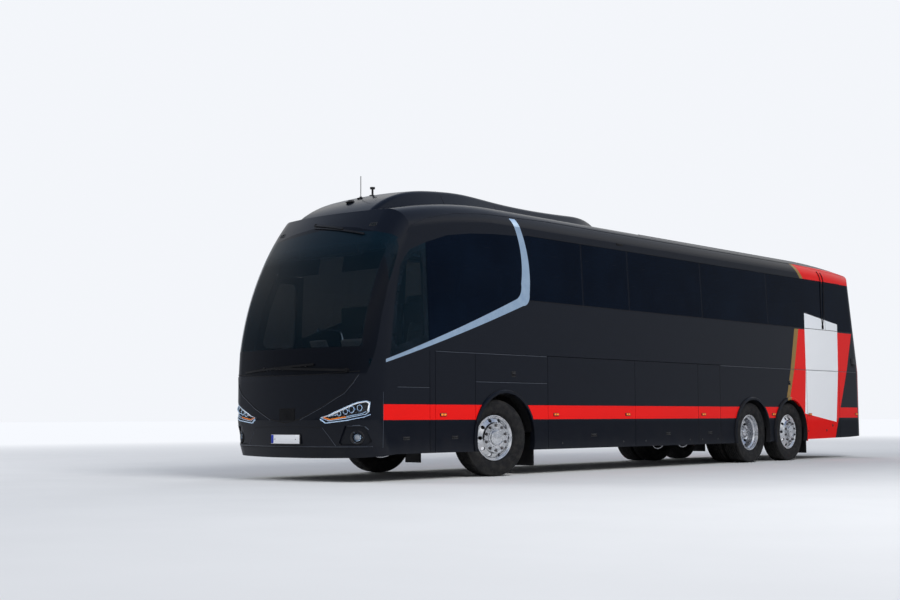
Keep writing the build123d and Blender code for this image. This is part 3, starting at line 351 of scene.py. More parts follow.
def body_paint(paint):
    """Metallic anthracite with the red stripe, the slanted rear band and its gold edging."""
    finish = Finish(
        "body_paint", tuple(paint.base), specular_ior_level=0.03, coat_roughness=0.03, coat_ior=1.45
    )
    x, y, z = finish.split(finish.object)
    nx, ny, nz = finish.split(finish.normal)
    # 1 on the faces that look outwards, 0 on those that look into the cabin
    out = (nx * x + ny * y * 0.35 + nz * (z - 2.1)) > 0.0
    flank = abs(x) > FLANK_X
    stripe = (z > paint.stripe_low) * (z < paint.stripe_high)
    stripe = stripe * (y > station(STRIPE_ENDS[0])) * (y < station(STRIPE_ENDS[1])) * flank
    for distance, height, radius in ARCH_LIPS:
        along, up = y - station(distance), z - height
        stripe = stripe * ((along * along + up * up) > radius**2)
    low = (z < BAND_TOP) * flank
    red = behind(y, z, BAND_GOLD_BACK) * (1.0 - behind(y, z, BAND_REAR)) * low
    gold = behind(y, z, BAND_GOLD_FRONT) * (1.0 - behind(y, z, BAND_GOLD_BACK)) * low * (z > GOLD_FOOT)
    brow = (z > ROOF_BAND[0]) * (z < ROOF_BAND[1]) * (abs(x) > ROOF_BAND_X) * (y < station(ROOF_BAND_END))
    red_brow = behind(y, z, ROOF_GOLD_BACK) * brow
    gold_brow = behind(y, z, ROOF_GOLD_FRONT) * (1.0 - behind(y, z, ROOF_GOLD_BACK)) * brow
    white = board(y, z) * flank
    flake = finish.cloud(420.0, 2.0, 0.35, 0.75)
    base = finish.mix(flake, tuple(paint.base), tuple(c * 1.5 for c in paint.base))
    plain = finish.math("MAXIMUM", stripe, finish.math("MAXIMUM", red, red_brow))
    colour = finish.mix(plain, base, tuple(paint.stripe))
    colour = finish.mix(finish.math("MAXIMUM", gold, gold_brow), colour, tuple(paint.gold))
    colour = finish.mix(white, colour, (0.80, 0.81, 0.82))
    dust = finish.fade(z, *DUST_Z, 0.16, 0.0) * finish.cloud(5.0, 4.0, 0.3, 0.8)
    colour = finish.mix(dust * 0.5, colour, (0.10, 0.09, 0.08))
    lining = finish.mix(finish.cloud(260.0, 2.0, 0.3, 0.7), (0.013, 0.013, 0.015), (0.021, 0.021, 0.023))
    finish.drive("Base Color", finish.mix(out, lining, colour))
    finish.drive("Metallic", out * (1.0 - finish.math("MAXIMUM", plain, white)) * 0.16)
    finish.drive("Roughness", finish.cloud(0.7, 1.0, 0.2, 0.8, 0.30, 0.36) + (1.0 - out) * 0.5 + dust)
    finish.drive("Coat Weight", out * 0.32)
    return finish.material


def dark_glass():
    """Near-black glazing, tinted and made nearly opaque as a painted shade of the cabin behind it, with the
    top of the white panel carried over its lower edge.
    """
    finish = Finish(
        "dark_glass", (0.003, 0.005, 0.009), roughness=0.03, ior=1.45, specular_ior_level=0.05,
        specular_tint=(0.30, 0.60, 1.0, 1.0),
    )
    x, y, z = finish.split(finish.object)
    white = board(y, z) * (abs(x) > FLANK_X)
    # Dark colour of the panes: real tint and painted shade of the cabin behind them
    tint_and_shade = finish.mix(finish.cloud(1.3, 2.0, 0.35, 0.75), (0.0010, 0.0026, 0.0070), (0.0018, 0.0045, 0.0110))
    finish.drive("Base Color", finish.mix(white, tint_and_shade, (0.78, 0.80, 0.82)))
    finish.drive("Alpha", finish.math("MAXIMUM", white, DARK_ALPHA) * finish.front())
    finish.drive("Roughness", finish.cloud(9.0, 3.0, 0.3, 0.8, 0.02, 0.05) + white * 0.25)
    return finish.material


def clear_glass():
    """Laminated glass with a tinted upper band and a black printed border, at least half opaque as a painted
    shade of the cabin behind it.
    """
    finish = Finish("clear_glass", (0.003, 0.009, 0.015), roughness=0.02, ior=1.45, specular_ior_level=0.09)
    x, y, z = finish.split(finish.object)
    face = y < station(SCREEN_END)
    across = abs(x)
    foot = (z < BORDER_FOOT) * face * (across < 1.2)
    ends = (across > BORDER_ENDS[0]) * face * (z > 1.5) * (across < BORDER_ENDS[1]) * (y < station(0.62))
    brow = (z > (BORDER_HEAD - across * BORDER_FALL)) * face
    border = finish.math("MAXIMUM", foot, finish.math("MAXIMUM", brow, ends))
    band = finish.fade(z, *TINT_Z, 0.0, 0.42)
    # Opacity: at least half everywhere, a painted shade of the cabin, rising towards the edge of view, in the
    # tinted band and on the border
    clear = finish.math("MAXIMUM", 0.50 + finish.rim(0.30) * 0.35 + band, border)
    finish.drive("Alpha", finish.math("MINIMUM", clear, 1.0) * finish.front())
    finish.drive("Base Color", finish.mix(border, (0.003, 0.010, 0.017), (0.0030, 0.0042, 0.0075)))
    finish.drive("Roughness", finish.cloud(7.0, 3.0, 0.3, 0.8, 0.015, 0.04))
    return finish.material


def grained(name, first, second, grain=600.0, depth=0.0004, rough=(0.45, 0.65), gloss=0.30):
    """Moulded plastic, sheet or casting: two shades, a fine grain and uneven gloss."""
    finish = Finish(name, first, specular_ior_level=gloss)
    cloud = finish.noise(6.0, 4.0)
    finish.drive("Base Color", finish.mix(finish.fade(cloud, 0.3, 0.72), first, second))
    finish.drive("Roughness", finish.fade(cloud, 0.25, 0.75, *rough))
    finish.bump(finish.noise(grain, 2.0), depth, 0.6)
    return finish.material


def metal(name, first, second, rough=(0.14, 0.30), streak=(1.0, 1.0, 1.0), scale=40.0):
    """Bare or polished metal with fine streaks and a little dulling."""
    finish = Finish(name, first, metallic=1.0)
    stretched = finish.signal("Mapping", 0, None, {"Vector": finish.object, "Scale": streak})
    lines = finish.noise(scale, 4.0, 0.6, stretched)
    finish.drive("Base Color", finish.mix(finish.cloud(8.0, 3.0, 0.35, 0.75), first, second))
    finish.drive("Roughness", finish.fade(lines, 0.3, 0.7, *rough))
    finish.bump(lines, 0.0003, 0.35)
    return finish.material


def tyre_rubber():
    """Black rubber with patches of dust and a fine grain."""
    finish = Finish("tyre", (0.012, 0.012, 0.013), specular_ior_level=0.22)
    dust = finish.cloud(14.0, 5.0, 0.42, 0.75)
    finish.drive("Base Color", finish.mix(dust * 0.55, (0.0085, 0.0085, 0.0095), (0.036, 0.034, 0.031)))
    finish.drive("Roughness", finish.cloud(60.0, 3.0, 0.3, 0.7, 0.55, 0.85))
    finish.bump(finish.noise(520.0, 2.0), 0.0006, 0.5)
    return finish.material


def seat_cloth(colour):
    """Woven cloth: crossed threads with small paler flecks."""
    finish = Finish("seat_cloth", tuple(colour), sheen_weight=0.3, sheen_roughness=0.5)
    weave = finish.waves("X", 190.0, 1.2) * finish.waves("Z", 190.0, 1.2)
    fleck = (finish.cells(42.0) < 0.16) * 0.8
    shade = finish.mix(finish.fade(weave, 0.1, 0.9), tuple(colour), tuple(c * 2.4 for c in colour))
    finish.drive("Base Color", finish.mix(fleck, shade, (0.20, 0.035, 0.03)))
    finish.drive("Roughness", finish.cloud(30.0, 3.0, 0.3, 0.7, 0.78, 0.95))
    finish.bump(weave, 0.0008, 0.6)
    return finish.material


def lens(name, colour, alpha=1.0, glow=0.0):
    """Lamp lens: clear, or coloured with fine ribs moulded in it."""
    finish = Finish(name, colour, roughness=0.06, ior=1.49)
    cloud = finish.fade(finish.noise(20.0, 2.0), 0.3, 0.7)
    bright = tuple(min(1.0, c * 1.35) for c in colour)
    finish.drive("Base Color", finish.mix(cloud, colour, bright))
    finish.drive("Roughness", finish.fade(cloud, 0.0, 1.0, 0.03, 0.09))
    if alpha < 1.0:
        finish.drive("Alpha", (alpha + finish.rim(0.25) * 0.25) * finish.front())
    else:
        finish.bump(finish.waves("Z", 34.0), 0.0015, 0.5)
    if glow:
        finish.shader.inputs["Emission Strength"].default_value = glow
        finish.drive("Emission Color", finish.mix(cloud, colour, tuple(c * 0.9 for c in colour)))
    return finish.material


def plate_sheet():
    """Blank reflective sheet with tiny glass beads."""
    finish = Finish("plate_sheet", (0.72, 0.73, 0.74))
    beads = finish.cells(900.0)
    cloud = finish.fade(beads, 0.0, 0.6)
    finish.drive("Base Color", finish.mix(cloud, (0.90, 0.91, 0.92), (0.80, 0.81, 0.83)))
    finish.drive("Roughness", finish.fade(beads, 0.0, 0.6, 0.30, 0.42))
    finish.bump(beads, 0.0002, 0.5)
    return finish.material


# Plastics, sheets and castings: name, two shades, grain, its depth, range of roughness and gloss
GRAINED = {
    "steel": ("chassis_steel", (0.020, 0.020, 0.021), (0.055, 0.050, 0.046), 90.0, 0.0008, (0.40, 0.62)),
    "iron": ("engine_iron", (0.10, 0.10, 0.11), (0.20, 0.19, 0.18), 70.0, 0.002, (0.45, 0.7)),
    "plastic": ("dark_plastic", (0.014, 0.014, 0.015), (0.030, 0.030, 0.032)),
    "dash": ("dash_plastic", (0.085, 0.090, 0.095), (0.13, 0.135, 0.14), 500.0),
    "trim": ("cabin_trim", (0.11, 0.11, 0.12), (0.16, 0.16, 0.165), 300.0),
    "black": ("black_panel", (0.006, 0.006, 0.007), (0.010, 0.010, 0.011), 500.0, 0.0002, (0.12, 0.22), 0.14),
    "floor": ("floor_cover", (0.060, 0.060, 0.065), (0.11, 0.11, 0.12), 160.0, 0.0008, (0.5, 0.7)),
    # Beads along creases and seams: a lighter blue-grey that is a painted highlight, the sky mirrored on
    # their bevels
    "edge": ("edge_paint", (0.045, 0.055, 0.075), (0.060, 0.070, 0.090), 700.0, 0.0001, (0.25, 0.4)),
    "rubber": ("rubber", (0.006, 0.006, 0.007), (0.013, 0.013, 0.014), 220.0, 0.0006, (0.55, 0.8), 0.14),
    "blue": ("blue_strip", (0.010, 0.030, 0.32), (0.014, 0.040, 0.38), 700.0, 0.0001, (0.25, 0.35)),
    "leather": ("head_leather", (0.022, 0.022, 0.024), (0.040, 0.040, 0.043), 240.0, 0.0006, (0.42, 0.58)),
    "screen": ("screen", (0.004, 0.005, 0.006), (0.010, 0.011, 0.013), 700.0, 0.0001, (0.10, 0.18)),
}
METALS = {
    "alloy": ("wheel_alloy", (0.80, 0.81, 0.83), (0.60, 0.61, 0.63), (0.17, 0.30)),
    # Bright trim: polished metal whose blue tint is a painted reflection of the sky
    "sky_tinted_chrome": ("bright_trim", (0.62, 0.80, 1.0), (0.52, 0.70, 0.92), (0.12, 0.22), (1.0, 0.05, 1.0), 60.0),
    "nut": ("nut_steel", (0.26, 0.25, 0.25), (0.10, 0.09, 0.09), (0.25, 0.5)),
}
# Lenses: name, colour, opacity and glow
LENSES = {
    "clear_lens": ("clear_lens", (0.10, 0.12, 0.14), 0.06),
    "red_lens": ("red_lens", (0.36, 0.006, 0.006)),
    "amber_lens": ("amber_lens", (0.90, 0.20, 0.01), 1.0, 0.12),
    "white_lens": ("white_lens", (0.80, 0.84, 0.90), 1.0, 0.25),
    "fog_lens": ("fog_lens", (0.22, 0.24, 0.27)),
}
MATERIALS = {}


def make_materials(scene):
    """Every finish of the coach, by name."""
    MATERIALS.update(
        paint=body_paint(scene.coach_paint),
        dark_glass=dark_glass(),
        clear_glass=clear_glass(),
        tyre=tyre_rubber(),
        cloth=seat_cloth(scene.coach_seats.cloth),
        plate=plate_sheet(),
    )
    for table, make in ((GRAINED, grained), (METALS, metal), (LENSES, lens)):
        MATERIALS.update({key: make(*row) for key, row in table.items()})


NODE_FINISH = {
    "tyre": "tyre",
    "wheel_alloy": "alloy",
    "clear_glass": "clear_glass",
    "dark_glass": "dark_glass",
    "bright_trim": "sky_tinted_chrome",
    "lamp_lens": "clear_lens",
    "tail_lens": "red_lens",
    "seat_cloth": "cloth",
    "chassis_steel": "steel",
    "engine_iron": "iron",
    "dark_plastic": "plastic",
    "floor_cover": "floor",
    "rubber": "rubber",
    "body_paint": "paint",
}
NODE_OWN_FINISH = {
    "front_door_glass": "dark_glass",
    "dashboard": "dash",
    "fog_lamps": "white_lens",
    "marker_lamps": "clear_lens",
    "wipers": "black",
}


# Modelling helpers


def mesh_of(bm, name):
    """Mesh made from a finished bmesh."""
    mesh = bpy.data.meshes.new(name)
    bm.to_mesh(mesh)
    bm.free()
    return mesh


class Piece:
    """Shapes that become one object of the coach, riding on a body, when the block ends."""

    def __init__(
        self, name, finishes, slot="dark_plastic", body="coach_body", smooth=32.0, replaces=(), fill=None
    ):
        self.name = name
        self.finishes = finishes
        self.slot = slot
        self.body = body
        self.smooth = smooth
        self.replaces = replaces
        self.fill = fill
        self.bm = bmesh.new()

    def __enter__(self):
        return self.bm

    def __exit__(self, kind, *_):
        if kind is not None:
            return
        self.bm.normal_update()
        mesh = mesh_of(self.bm, self.name)
        for key in self.finishes:
            mesh.materials.append(MATERIALS[key])
        mesh.shade_smooth()
        mesh.set_sharp_from_angle(angle=math.radians(self.smooth))
        piece = bpy.data.objects.new(self.name, mesh)
        bpy.context.scene.collection.objects.link(piece)
        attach(piece, self.body)
        if self.replaces:
            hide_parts(*self.replaces)


def join(bm, part, index=0, place=None):
    """Add a finished small shape to a larger one with its material, at a place."""
    if place is not None:
        bmesh.ops.transform(part, matrix=place, verts=part.verts)
    for face in part.faces:
        face.material_index = index
    shape = mesh_of(part, "part")
    bm.from_mesh(shape)
    bpy.data.meshes.remove(shape)


def stamp(bm, model, place):
    """Add a copy of a mesh at a place, with its own materials."""
    shape = model.copy()
    shape.transform(place)
    bm.from_mesh(shape)
    bpy.data.meshes.remove(shape)


def rounded(bm, radius, segments=2):
    """Round every edge of a small shape."""
    bmesh.ops.bevel(
        bm, geom=list(bm.edges), offset=radius, affect="EDGES", segments=segments, profile=0.5, material=-1
    )


def block(bm, centre, size, radius=0.004, turn=None, index=0, segments=2):
    """Rounded block at a place."""
    part = bmesh.new()
    bmesh.ops.create_cube(part, size=1.0, matrix=Matrix.LocRotScale(Vector(), None, Vector(size)))
    rounded(part, min(radius, min(size) * 0.45), segments)
    join(bm, part, index, Matrix.LocRotScale(Vector(centre), turn, None))


def spun(profile, steps=32, closed=False):
    """Small shape from a profile of (distance along the X axis, radius), spun round that axis."""
    part = bmesh.new()
    verts = [part.verts.new((along, 0.0, radius)) for along, radius in profile]
    pairs = list(zip(verts, verts[1:]))
    if closed:
        pairs.append((verts[-1], verts[0]))
    edges = [part.edges.new(pair) for pair in pairs]
    bmesh.ops.spin(
        part, geom=verts + edges, axis=X_AXIS, cent=ORIGIN, angle=math.tau, steps=steps, use_merge=True
    )
    bmesh.ops.remove_doubles(part, verts=part.verts, dist=0.00005)
    bmesh.ops.recalc_face_normals(part, faces=part.faces)
    return part


def turned(bm, profile, place, steps=32, index=0):
    """Spun shape at a place; its axis is the X axis of the place."""
    part = spun(profile, steps)
    outwards = sum(face.normal.x * face.calc_area() for face in part.faces)
    if outwards < 0:
        bmesh.ops.reverse_faces(part, faces=part.faces)
    join(bm, part, index, place)


def cone(part, along, depth, foot, head, sides):
    """Cone or prism whose axis is the X axis, centred at a distance along it."""
    place = Matrix.Translation((along, 0.0, 0.0)) @ Matrix.Rotation(math.pi / 2, 4, "Y")
    bmesh.ops.create_cone(
        part, cap_ends=True, segments=sides, radius1=foot, radius2=head, depth=depth, matrix=place
    )


def aimed(origin, direction, up=Z_AXIS):
    """Matrix whose X axis looks along a direction from an origin."""
    ahead = Vector(direction).normalized()
    side = Vector(up).cross(ahead)
    if side.length < 1e-6:
        side = Vector(Y_AXIS)
    side.normalize()
    high = ahead.cross(side)
    place = Matrix((ahead, side, high)).transposed().to_4x4()
    place.translation = Vector(origin)
    return place


def upright(origin, sense=1.0):
    """Matrix whose X axis looks straight up, or down for a sense of -1."""
    return aimed(origin, (0.0, 0.0, sense), Y_AXIS)


def turn_x(angle):
    """Turn round the X axis."""
    return Matrix.Rotation(angle, 4, "X")


def tilt(degrees, axis="X"):
    """Turn of a block by some degrees."""
    return Matrix.Rotation(math.radians(degrees), 4, axis).to_quaternion()


def mirrored(side, points):
    """Points given as (distance across, height) on one side of the nose or tail."""
    return [(side * across, height) for across, height in points]


def outline_panel(bm, points, thickness, radius=0.002, index=0):
    """Flat panel from a closed outline, raised to a thickness and rounded at its edges."""
    part = bmesh.new()
    face = part.faces.new([part.verts.new(point) for point in points])
    grown = bmesh.ops.extrude_face_region(part, geom=[face])
    moved = [item for item in grown["geom"] if isinstance(item, bmesh.types.BMVert)]
    bmesh.ops.translate(part, verts=moved, vec=(0.0, 0.0, thickness))
    bmesh.ops.recalc_face_normals(part, faces=part.faces)
    rounded(part, radius, 1)
    join(bm, part, index)


def tube(bm, points, radius, index=0, sides=8, cyclic=False, smooth=False):
    """Round tube along some points."""
    curve = bpy.data.curves.new("route", "CURVE")
    curve.dimensions = "3D"
    curve.bevel_depth = radius
    curve.bevel_resolution = max(1, sides // 4)
    curve.use_fill_caps = not cyclic
    spline = curve.splines.new("NURBS" if smooth else "POLY")
    spline.points.add(len(points) - 1)
    for point, place in zip(spline.points, points):
        point.co = (*place, 1.0)
    spline.use_cyclic_u = cyclic
    if smooth:
        spline.order_u = 3
        spline.use_endpoint_u = not cyclic
        spline.resolution_u = 6
    carrier = bpy.data.objects.new("route", curve)
    bpy.context.scene.collection.objects.link(carrier)
    shape = bpy.data.meshes.new_from_object(carrier)
    part = bmesh.new()
    part.from_mesh(shape)
    bpy.data.objects.remove(carrier)
    bpy.data.curves.remove(curve)
    bpy.data.meshes.remove(shape)
    join(bm, part, index)


def merged(*names):
    """Copy of some CAD nodes with their doubles merged."""
    bm = bmesh.new()
    for name in names:
        bm.from_mesh(NODES[name].data)
    bmesh.ops.remove_doubles(bm, verts=bm.verts, dist=0.0001)
    return bm


class Skin:
    """Finds places on the outer surface of some CAD nodes."""

    def __init__(self, *names):
        bm = merged(*names)
        self.tree = BVHTree.FromBMesh(bm)
        bm.free()

    def hit(self, origin, direction, lift=0.0):
        """Place where a ray meets the surface, lifted off it, with the surface's direction."""
        place, normal, _, _ = self.tree.ray_cast(Vector(origin), Vector(direction).normalized())
        if place is None:
            raise RuntimeError(f"no surface from {origin} along {direction}")
        if normal.dot(Vector(direction)) > 0:
            normal = -normal
        return place + normal * lift, normal

    def nose(self, across, height, lift=0.0):
        return self.hit((across, CAD_BOX[0][1] - 1.0, height), Y_AXIS, lift)

    def tail(self, across, height, lift=0.0):
        return self.hit((across, CAD_BOX[1][1] + 1.0, height), FORWARDS, lift)

    def flank(self, side):
        """Finder for one side, by station and height."""
        return lambda distance, height, lift=0.0: self.hit(
            (side * 3.0, station(distance), height), (-side, 0.0, 0.0), lift
        )

    def top(self, across, distance, lift=0.0):
        return self.hit((across, station(distance), 6.0), (0.0, 0.0, -1.0), lift)


def sampled(points, step=0.05):
    """Points along a broken line at about even steps."""
    result = [Vector(points[0])]
    for first, last in zip(points, points[1:]):
        first, last = Vector(first), Vector(last)
        count = max(1, round((last - first).length / step))
        result += [first.lerp(last, part / count) for part in range(1, count + 1)]
    return result


def skin_line(bm, find, points, radius, lift=0.0, index=0, step=0.05, sides=4):
    """Thin bead that follows the surface under a broken line, a ring if the line ends where it starts."""
    cyclic = points[0] == points[-1]
    places = [find(*point, lift)[0] for point in sampled(points, step)]
    tube(bm, places[:-1] if cyclic else places, radius, index, sides, cyclic)


def skin_patch(bm, find, points, thickness, lift=0.001, index=0, step=0.04):
    """Thin pad that lies on the surface inside an outline."""
    part = bmesh.new()
    ring = sampled(list(points) + [points[0]], step)[:-1]
    face = part.faces.new([part.verts.new((spot[0], spot[1], 0.0)) for spot in ring])
    bmesh.ops.inset_region(part, faces=[face], thickness=0.006, use_even_offset=True)
    bmesh.ops.triangulate(part, faces=[one for one in part.faces if len(one.verts) > 4])
    grown = bmesh.ops.extrude_face_region(part, geom=list(part.faces))
    raised = {item for item in grown["geom"] if isinstance(item, bmesh.types.BMVert)}
    for vert in part.verts:
        place, normal = find(vert.co.x, vert.co.y, 0.0)
        vert.co = place + normal * (lift + (thickness if vert in raised else -0.002))
    bmesh.ops.recalc_face_normals(part, faces=part.faces)
    join(bm, part, index)


# Wheels: stations of the axles, height of their centres and distances of the tyres from the middle
STEER_AT_REST = math.radians(-13.0)
KINGPIN_X = 0.930
AXLES = {"front": 2.740, "drive": 9.555, "tag": 10.945}
WHEEL_Z = 0.512
WHEEL_X = 1.090
TWIN_X = 0.755
TYRE_STEPS = 96
HALF_TURN = Matrix.Rotation(math.pi, 4, "Z")
# Axle, word and sign of the side, body, tyre node and distances of its tyres
WHEELS = [
    (axle, word, side, f"{axle}_wheel{many}_{word}", f"{axle}_tyre{many}_{word}", places)
    for word, side in SIDES
    for axle, many, places in (
        ("front", "", [WHEEL_X]), ("drive", "s", [WHEEL_X, TWIN_X]), ("tag", "", [WHEEL_X])
    )
]
# Sidewall from the bead to the shoulder, as distance from the tyre's middle and radius
SIDEWALL = [
    (0.098, 0.286), (0.099, 0.303), (0.104, 0.309), (0.118, 0.318), (0.127, 0.330), (0.1290, 0.3335),
    (0.1325, 0.3345), (0.139, 0.350), (0.1455, 0.370), (0.1478, 0.392), (0.1482, 0.404), (0.1472, 0.408),
    (0.1478, 0.412), (0.1470, 0.430), (0.1445, 0.452), (0.1412, 0.470), (0.1402, 0.474), (0.1405, 0.486),
    (0.1385, 0.496), (0.132, 0.5035),
]
# Grooves of half a tread: outer edge, and how far the ribs on both sides lie below its crown
GROOVES = [(0.101, 0.0030, 0.0022), (0.061, 0.0012, 0.0008), (0.021, 0.0002, 0.0)]


def wheel_place(axle, side, across):
    """Matrix of a wheel: its X axis points outwards along the axle."""
    place = Matrix.Translation((side * across, station(AXLES[axle]), WHEEL_Z))
    if side == RIGHT:
        place = place @ HALF_TURN
    if axle == "front":
        pin = Vector((side * KINGPIN_X, station(AXLES["front"]), 0.0))
        steer = Matrix.Translation(pin) @ Matrix.Rotation(STEER_AT_REST, 4, "Z") @ Matrix.Translation(-pin)
        place = steer @ place
    return place


def tyre_model(crown, depth):
    """Mesh of one tyre round the X axis, with its grooved tread and shoulder notches."""
    half = SIDEWALL + [(0.122, crown - 0.0045)]
    for edge, before, after in GROOVES:
        half += [(edge, crown - before), (edge - 0.002, crown - depth)]
        half += [(edge - 0.012, crown - depth), (edge - 0.014, crown - after)]
    bm = spun(half + [(-along, radius) for along, radius in reversed(half)], TYRE_STEPS, True)
    notches = []
    for face in bm.faces:
        middle = face.calc_center_median()
        radius = math.hypot(middle.y, middle.z)
        ring = int(math.atan2(middle.y, middle.z) / math.tau * TYRE_STEPS + TYRE_STEPS + 0.5)
        outer = 0.101 < abs(middle.x) < 0.133 and radius > 0.500
        rib = 0.024 < abs(middle.x) < 0.046 and radius > 0.509
        if (outer and ring % 2) or (rib and ring % 4 == 0):
            notches.append(face)
    bmesh.ops.inset_individual(bm, faces=notches, thickness=0.0045, depth=0.0)
    for face in bmesh.ops.extrude_discrete_faces(bm, faces=notches)["faces"]:
        middle = face.calc_center_median()
        outwards = Vector((0.0, middle.y, middle.z)).normalized()
        bmesh.ops.translate(bm, verts=face.verts, vec=outwards * -0.006)
    bmesh.ops.recalc_face_normals(bm, faces=bm.faces)
    return mesh_of(bm, "tyre_model")


class COACH_OT_tyres(bpy.types.Operator):
    """Make the tyres with their grooved treads and shoulder notches"""

    bl_idname = "coach.tyres"
    bl_label = "Tyres"

    def execute(self, context):
        settings = context.scene.coach_wheels
        model = tyre_model(settings.radius, settings.groove)
        for axle, _, side, body, node, places in WHEELS:
            with Piece(f"{node}_treaded", ["tyre"], "tyre", body, 24.0, [node]) as bm:
                for across in places:
                    stamp(bm, model, wheel_place(axle, side, across))
        bpy.data.meshes.remove(model)
        return {"FINISHED"}


def nut(bm, place, size=0.0165, height=0.026):
    """Hexagon nut on a washer, with the bright end of its stud, along the X axis of a place."""
    part = bmesh.new()
    cone(part, height / 2 + 0.003, height, size, size, 6)
    rounded(part, size * 0.1, 1)
    cone(part, 0.002, 0.004, size * 1.35, size * 1.25, 16)
    join(bm, part, 1, place)
    stud = bmesh.new()
    cone(stud, height + 0.004, height * 0.35, size * 0.62, size * 0.5, 10)
    join(bm, stud, 0, place)


def nut_ring(bm, place, count, along, radius, size=0.0165, height=0.026, shift=0.0):
    """Ring of nuts round the X axis of a place, turned by a part of their spacing."""
    for number in range(count):
        spot = turn_x(math.tau * (number + shift) / count) @ Matrix.Translation((along, 0.0, radius))
        nut(bm, place @ spot, size, height)


# Turned parts of the hubs and rims, as distance outwards along the axle and radius
DRIVE_CAP = [(0.020, 0.0), (0.036, 0.0), (0.040, 0.030), (0.034, 0.052), (0.022, 0.062), (0.020, 0.062)]
DRIVE_COLLAR = [(0.018, 0.060), (0.026, 0.062), (0.026, 0.092), (0.018, 0.095)]
HUB_CAP = [
    (0.170, 0.098), (0.178, 0.099), (0.182, 0.094), (0.182, 0.086), (0.178, 0.083), (0.179, 0.070),
    (0.183, 0.040), (0.185, 0.018), (0.186, 0.0),
]
HUB_COLLAR = [(0.149, 0.135), (0.156, 0.133), (0.157, 0.112), (0.160, 0.108), (0.160, 0.099)]
RIM_LIP = [(0.104, 0.291), (0.1125, 0.2925), (0.1155, 0.297), (0.1135, 0.3015), (0.106, 0.3025)]
RIM_STEP = [(0.101, 0.2710), (0.1035, 0.2745), (0.1020, 0.2785)]


class COACH_OT_wheel_hubs(bpy.types.Operator):
    """Make the nuts, hub caps, hub flanges and valves of the wheels"""

    bl_idname = "coach.wheel_hubs"
    bl_label = "Wheel hubs"

    def execute(self, context):
        settings = context.scene.coach_wheels
        for axle, word, side, body, _, places in WHEELS:
            place = wheel_place(axle, side, places[0])
            dished = axle == "drive"
            with Piece(f"{axle}_hub_{word}", ["alloy", "nut"], "wheel_alloy", body, 30.0) as bm:
                nut_ring(bm, place, settings.nuts, -0.132 if dished else 0.150, settings.nut_circle)
                if dished:
                    turned(bm, DRIVE_CAP, place)
                    turned(bm, DRIVE_COLLAR, place)
                    nut_ring(bm, place, 10, 0.024, 0.078, 0.0085, 0.010, 0.5)
                else:
                    turned(bm, HUB_CAP, place, 40)
                    turned(bm, HUB_COLLAR, place, 40)
                    nut_ring(bm, place, 8, 0.153, 0.122, 0.0055, 0.006, 0.5)
                turned(bm, RIM_LIP, place, 64)
                turned(bm, RIM_STEP, place, 64)
                valve = place @ turn_x(0.35)
                foot, tip = valve @ Vector((0.080, 0.0, 0.262)), valve @ Vector((0.128, 0.0, 0.240))
                tube(bm, [foot, foot.lerp(tip, 0.6), tip], 0.004, 1)
        return {"FINISHED"}


class COACH_OT_node_finishes(bpy.types.Operator):
    """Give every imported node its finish"""

    bl_idname = "coach.node_finishes"
    bl_label = "Finishes of the packed nodes"

    def execute(self, context):
        make_materials(context.scene)
        for row in frame["record"]["subparts"]:
            node = NODES[row["node"]]
            key = NODE_OWN_FINISH.get(row["node"], NODE_FINISH[row["material_slot"]])
            node.data.materials.clear()
            node.data.materials.append(MATERIALS[key])
        return {"FINISHED"}


# Head lamp: outline of the lens and light bars, as distance across and height
LAMP_RIM = [
    (0.600, 0.790), (0.728, 0.748), (0.999, 0.786), (1.180, 0.826), (1.206, 0.860), (1.214, 0.972),
    (1.186, 0.990), (1.105, 0.972), (0.911, 0.892), (0.720, 0.822), (0.600, 0.790),
]
LAMP_BAR = [
    (0.612, 0.792), (0.775, 0.832), (0.911, 0.884), (1.105, 0.964), (1.186, 0.982), (1.208, 0.960),
    (1.198, 0.862),
]
LAMP_AMBER = [(0.640, 0.790), (0.735, 0.764), (0.960, 0.796)]
LAMP_FOOT = [(0.975, 0.799), (1.150, 0.836), (1.185, 0.862)]
LAMP_RIBS = [[(0.70, 0.8000), (0.80, 0.8220)], [(0.80, 0.8160), (0.86, 0.8316)]]
# Beads of the head lamp: line, radius, lift and finish
LAMP_BEADS = [(LAMP_RIM, 0.005, -0.006, 1), (LAMP_BAR, 0.0085, -0.014, 2), (LAMP_AMBER, 0.0085, -0.014, 3)]
LAMP_BEADS += [(LAMP_FOOT, 0.006, -0.014, 1)]
# Projectors: distance across, height and radius
PROJECTORS = [(0.860, 0.836, 0.022), (0.950, 0.862, 0.028), (1.030, 0.886, 0.034), (1.118, 0.905, 0.030)]
# Beyond this distance from the middle the cover is painted
LENS_END = 1.216
# The lamps curve round an upright line at this place ahead of the middle
LAMP_CENTRE_Y = -5.9


def lamp_shell(bm, outward):
    """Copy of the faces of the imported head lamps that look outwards, or of all the others."""
    source = merged("head_lamps")
    drop = []
    for face in source.faces:
        middle = face.calc_center_median()
        away = Vector((middle.x, middle.y - LAMP_CENTRE_Y, 0.0))
        if (face.normal.dot(away) > 0.35 * away.length) != outward:
            drop.append(face)
    bmesh.ops.delete(source, geom=drop, context="FACES")
    if not outward:
        bmesh.ops.reverse_faces(source, faces=source.faces)
    join(bm, source)


def projector(bm, face, radius):
    """Round projector: bright bezel and dark crowned lens."""
    bezel = [(-0.026, radius + 0.010), (0.000, radius + 0.012), (0.004, radius + 0.006), (0.000, radius)]
    rim = (-0.008, radius * 0.98)
    turned(bm, [*bezel, rim], face, 28, 1)
    turned(bm, [rim, (-0.003, radius * 0.80), (0.001, radius * 0.45), (0.002, 0.0)], face, 28, 4)


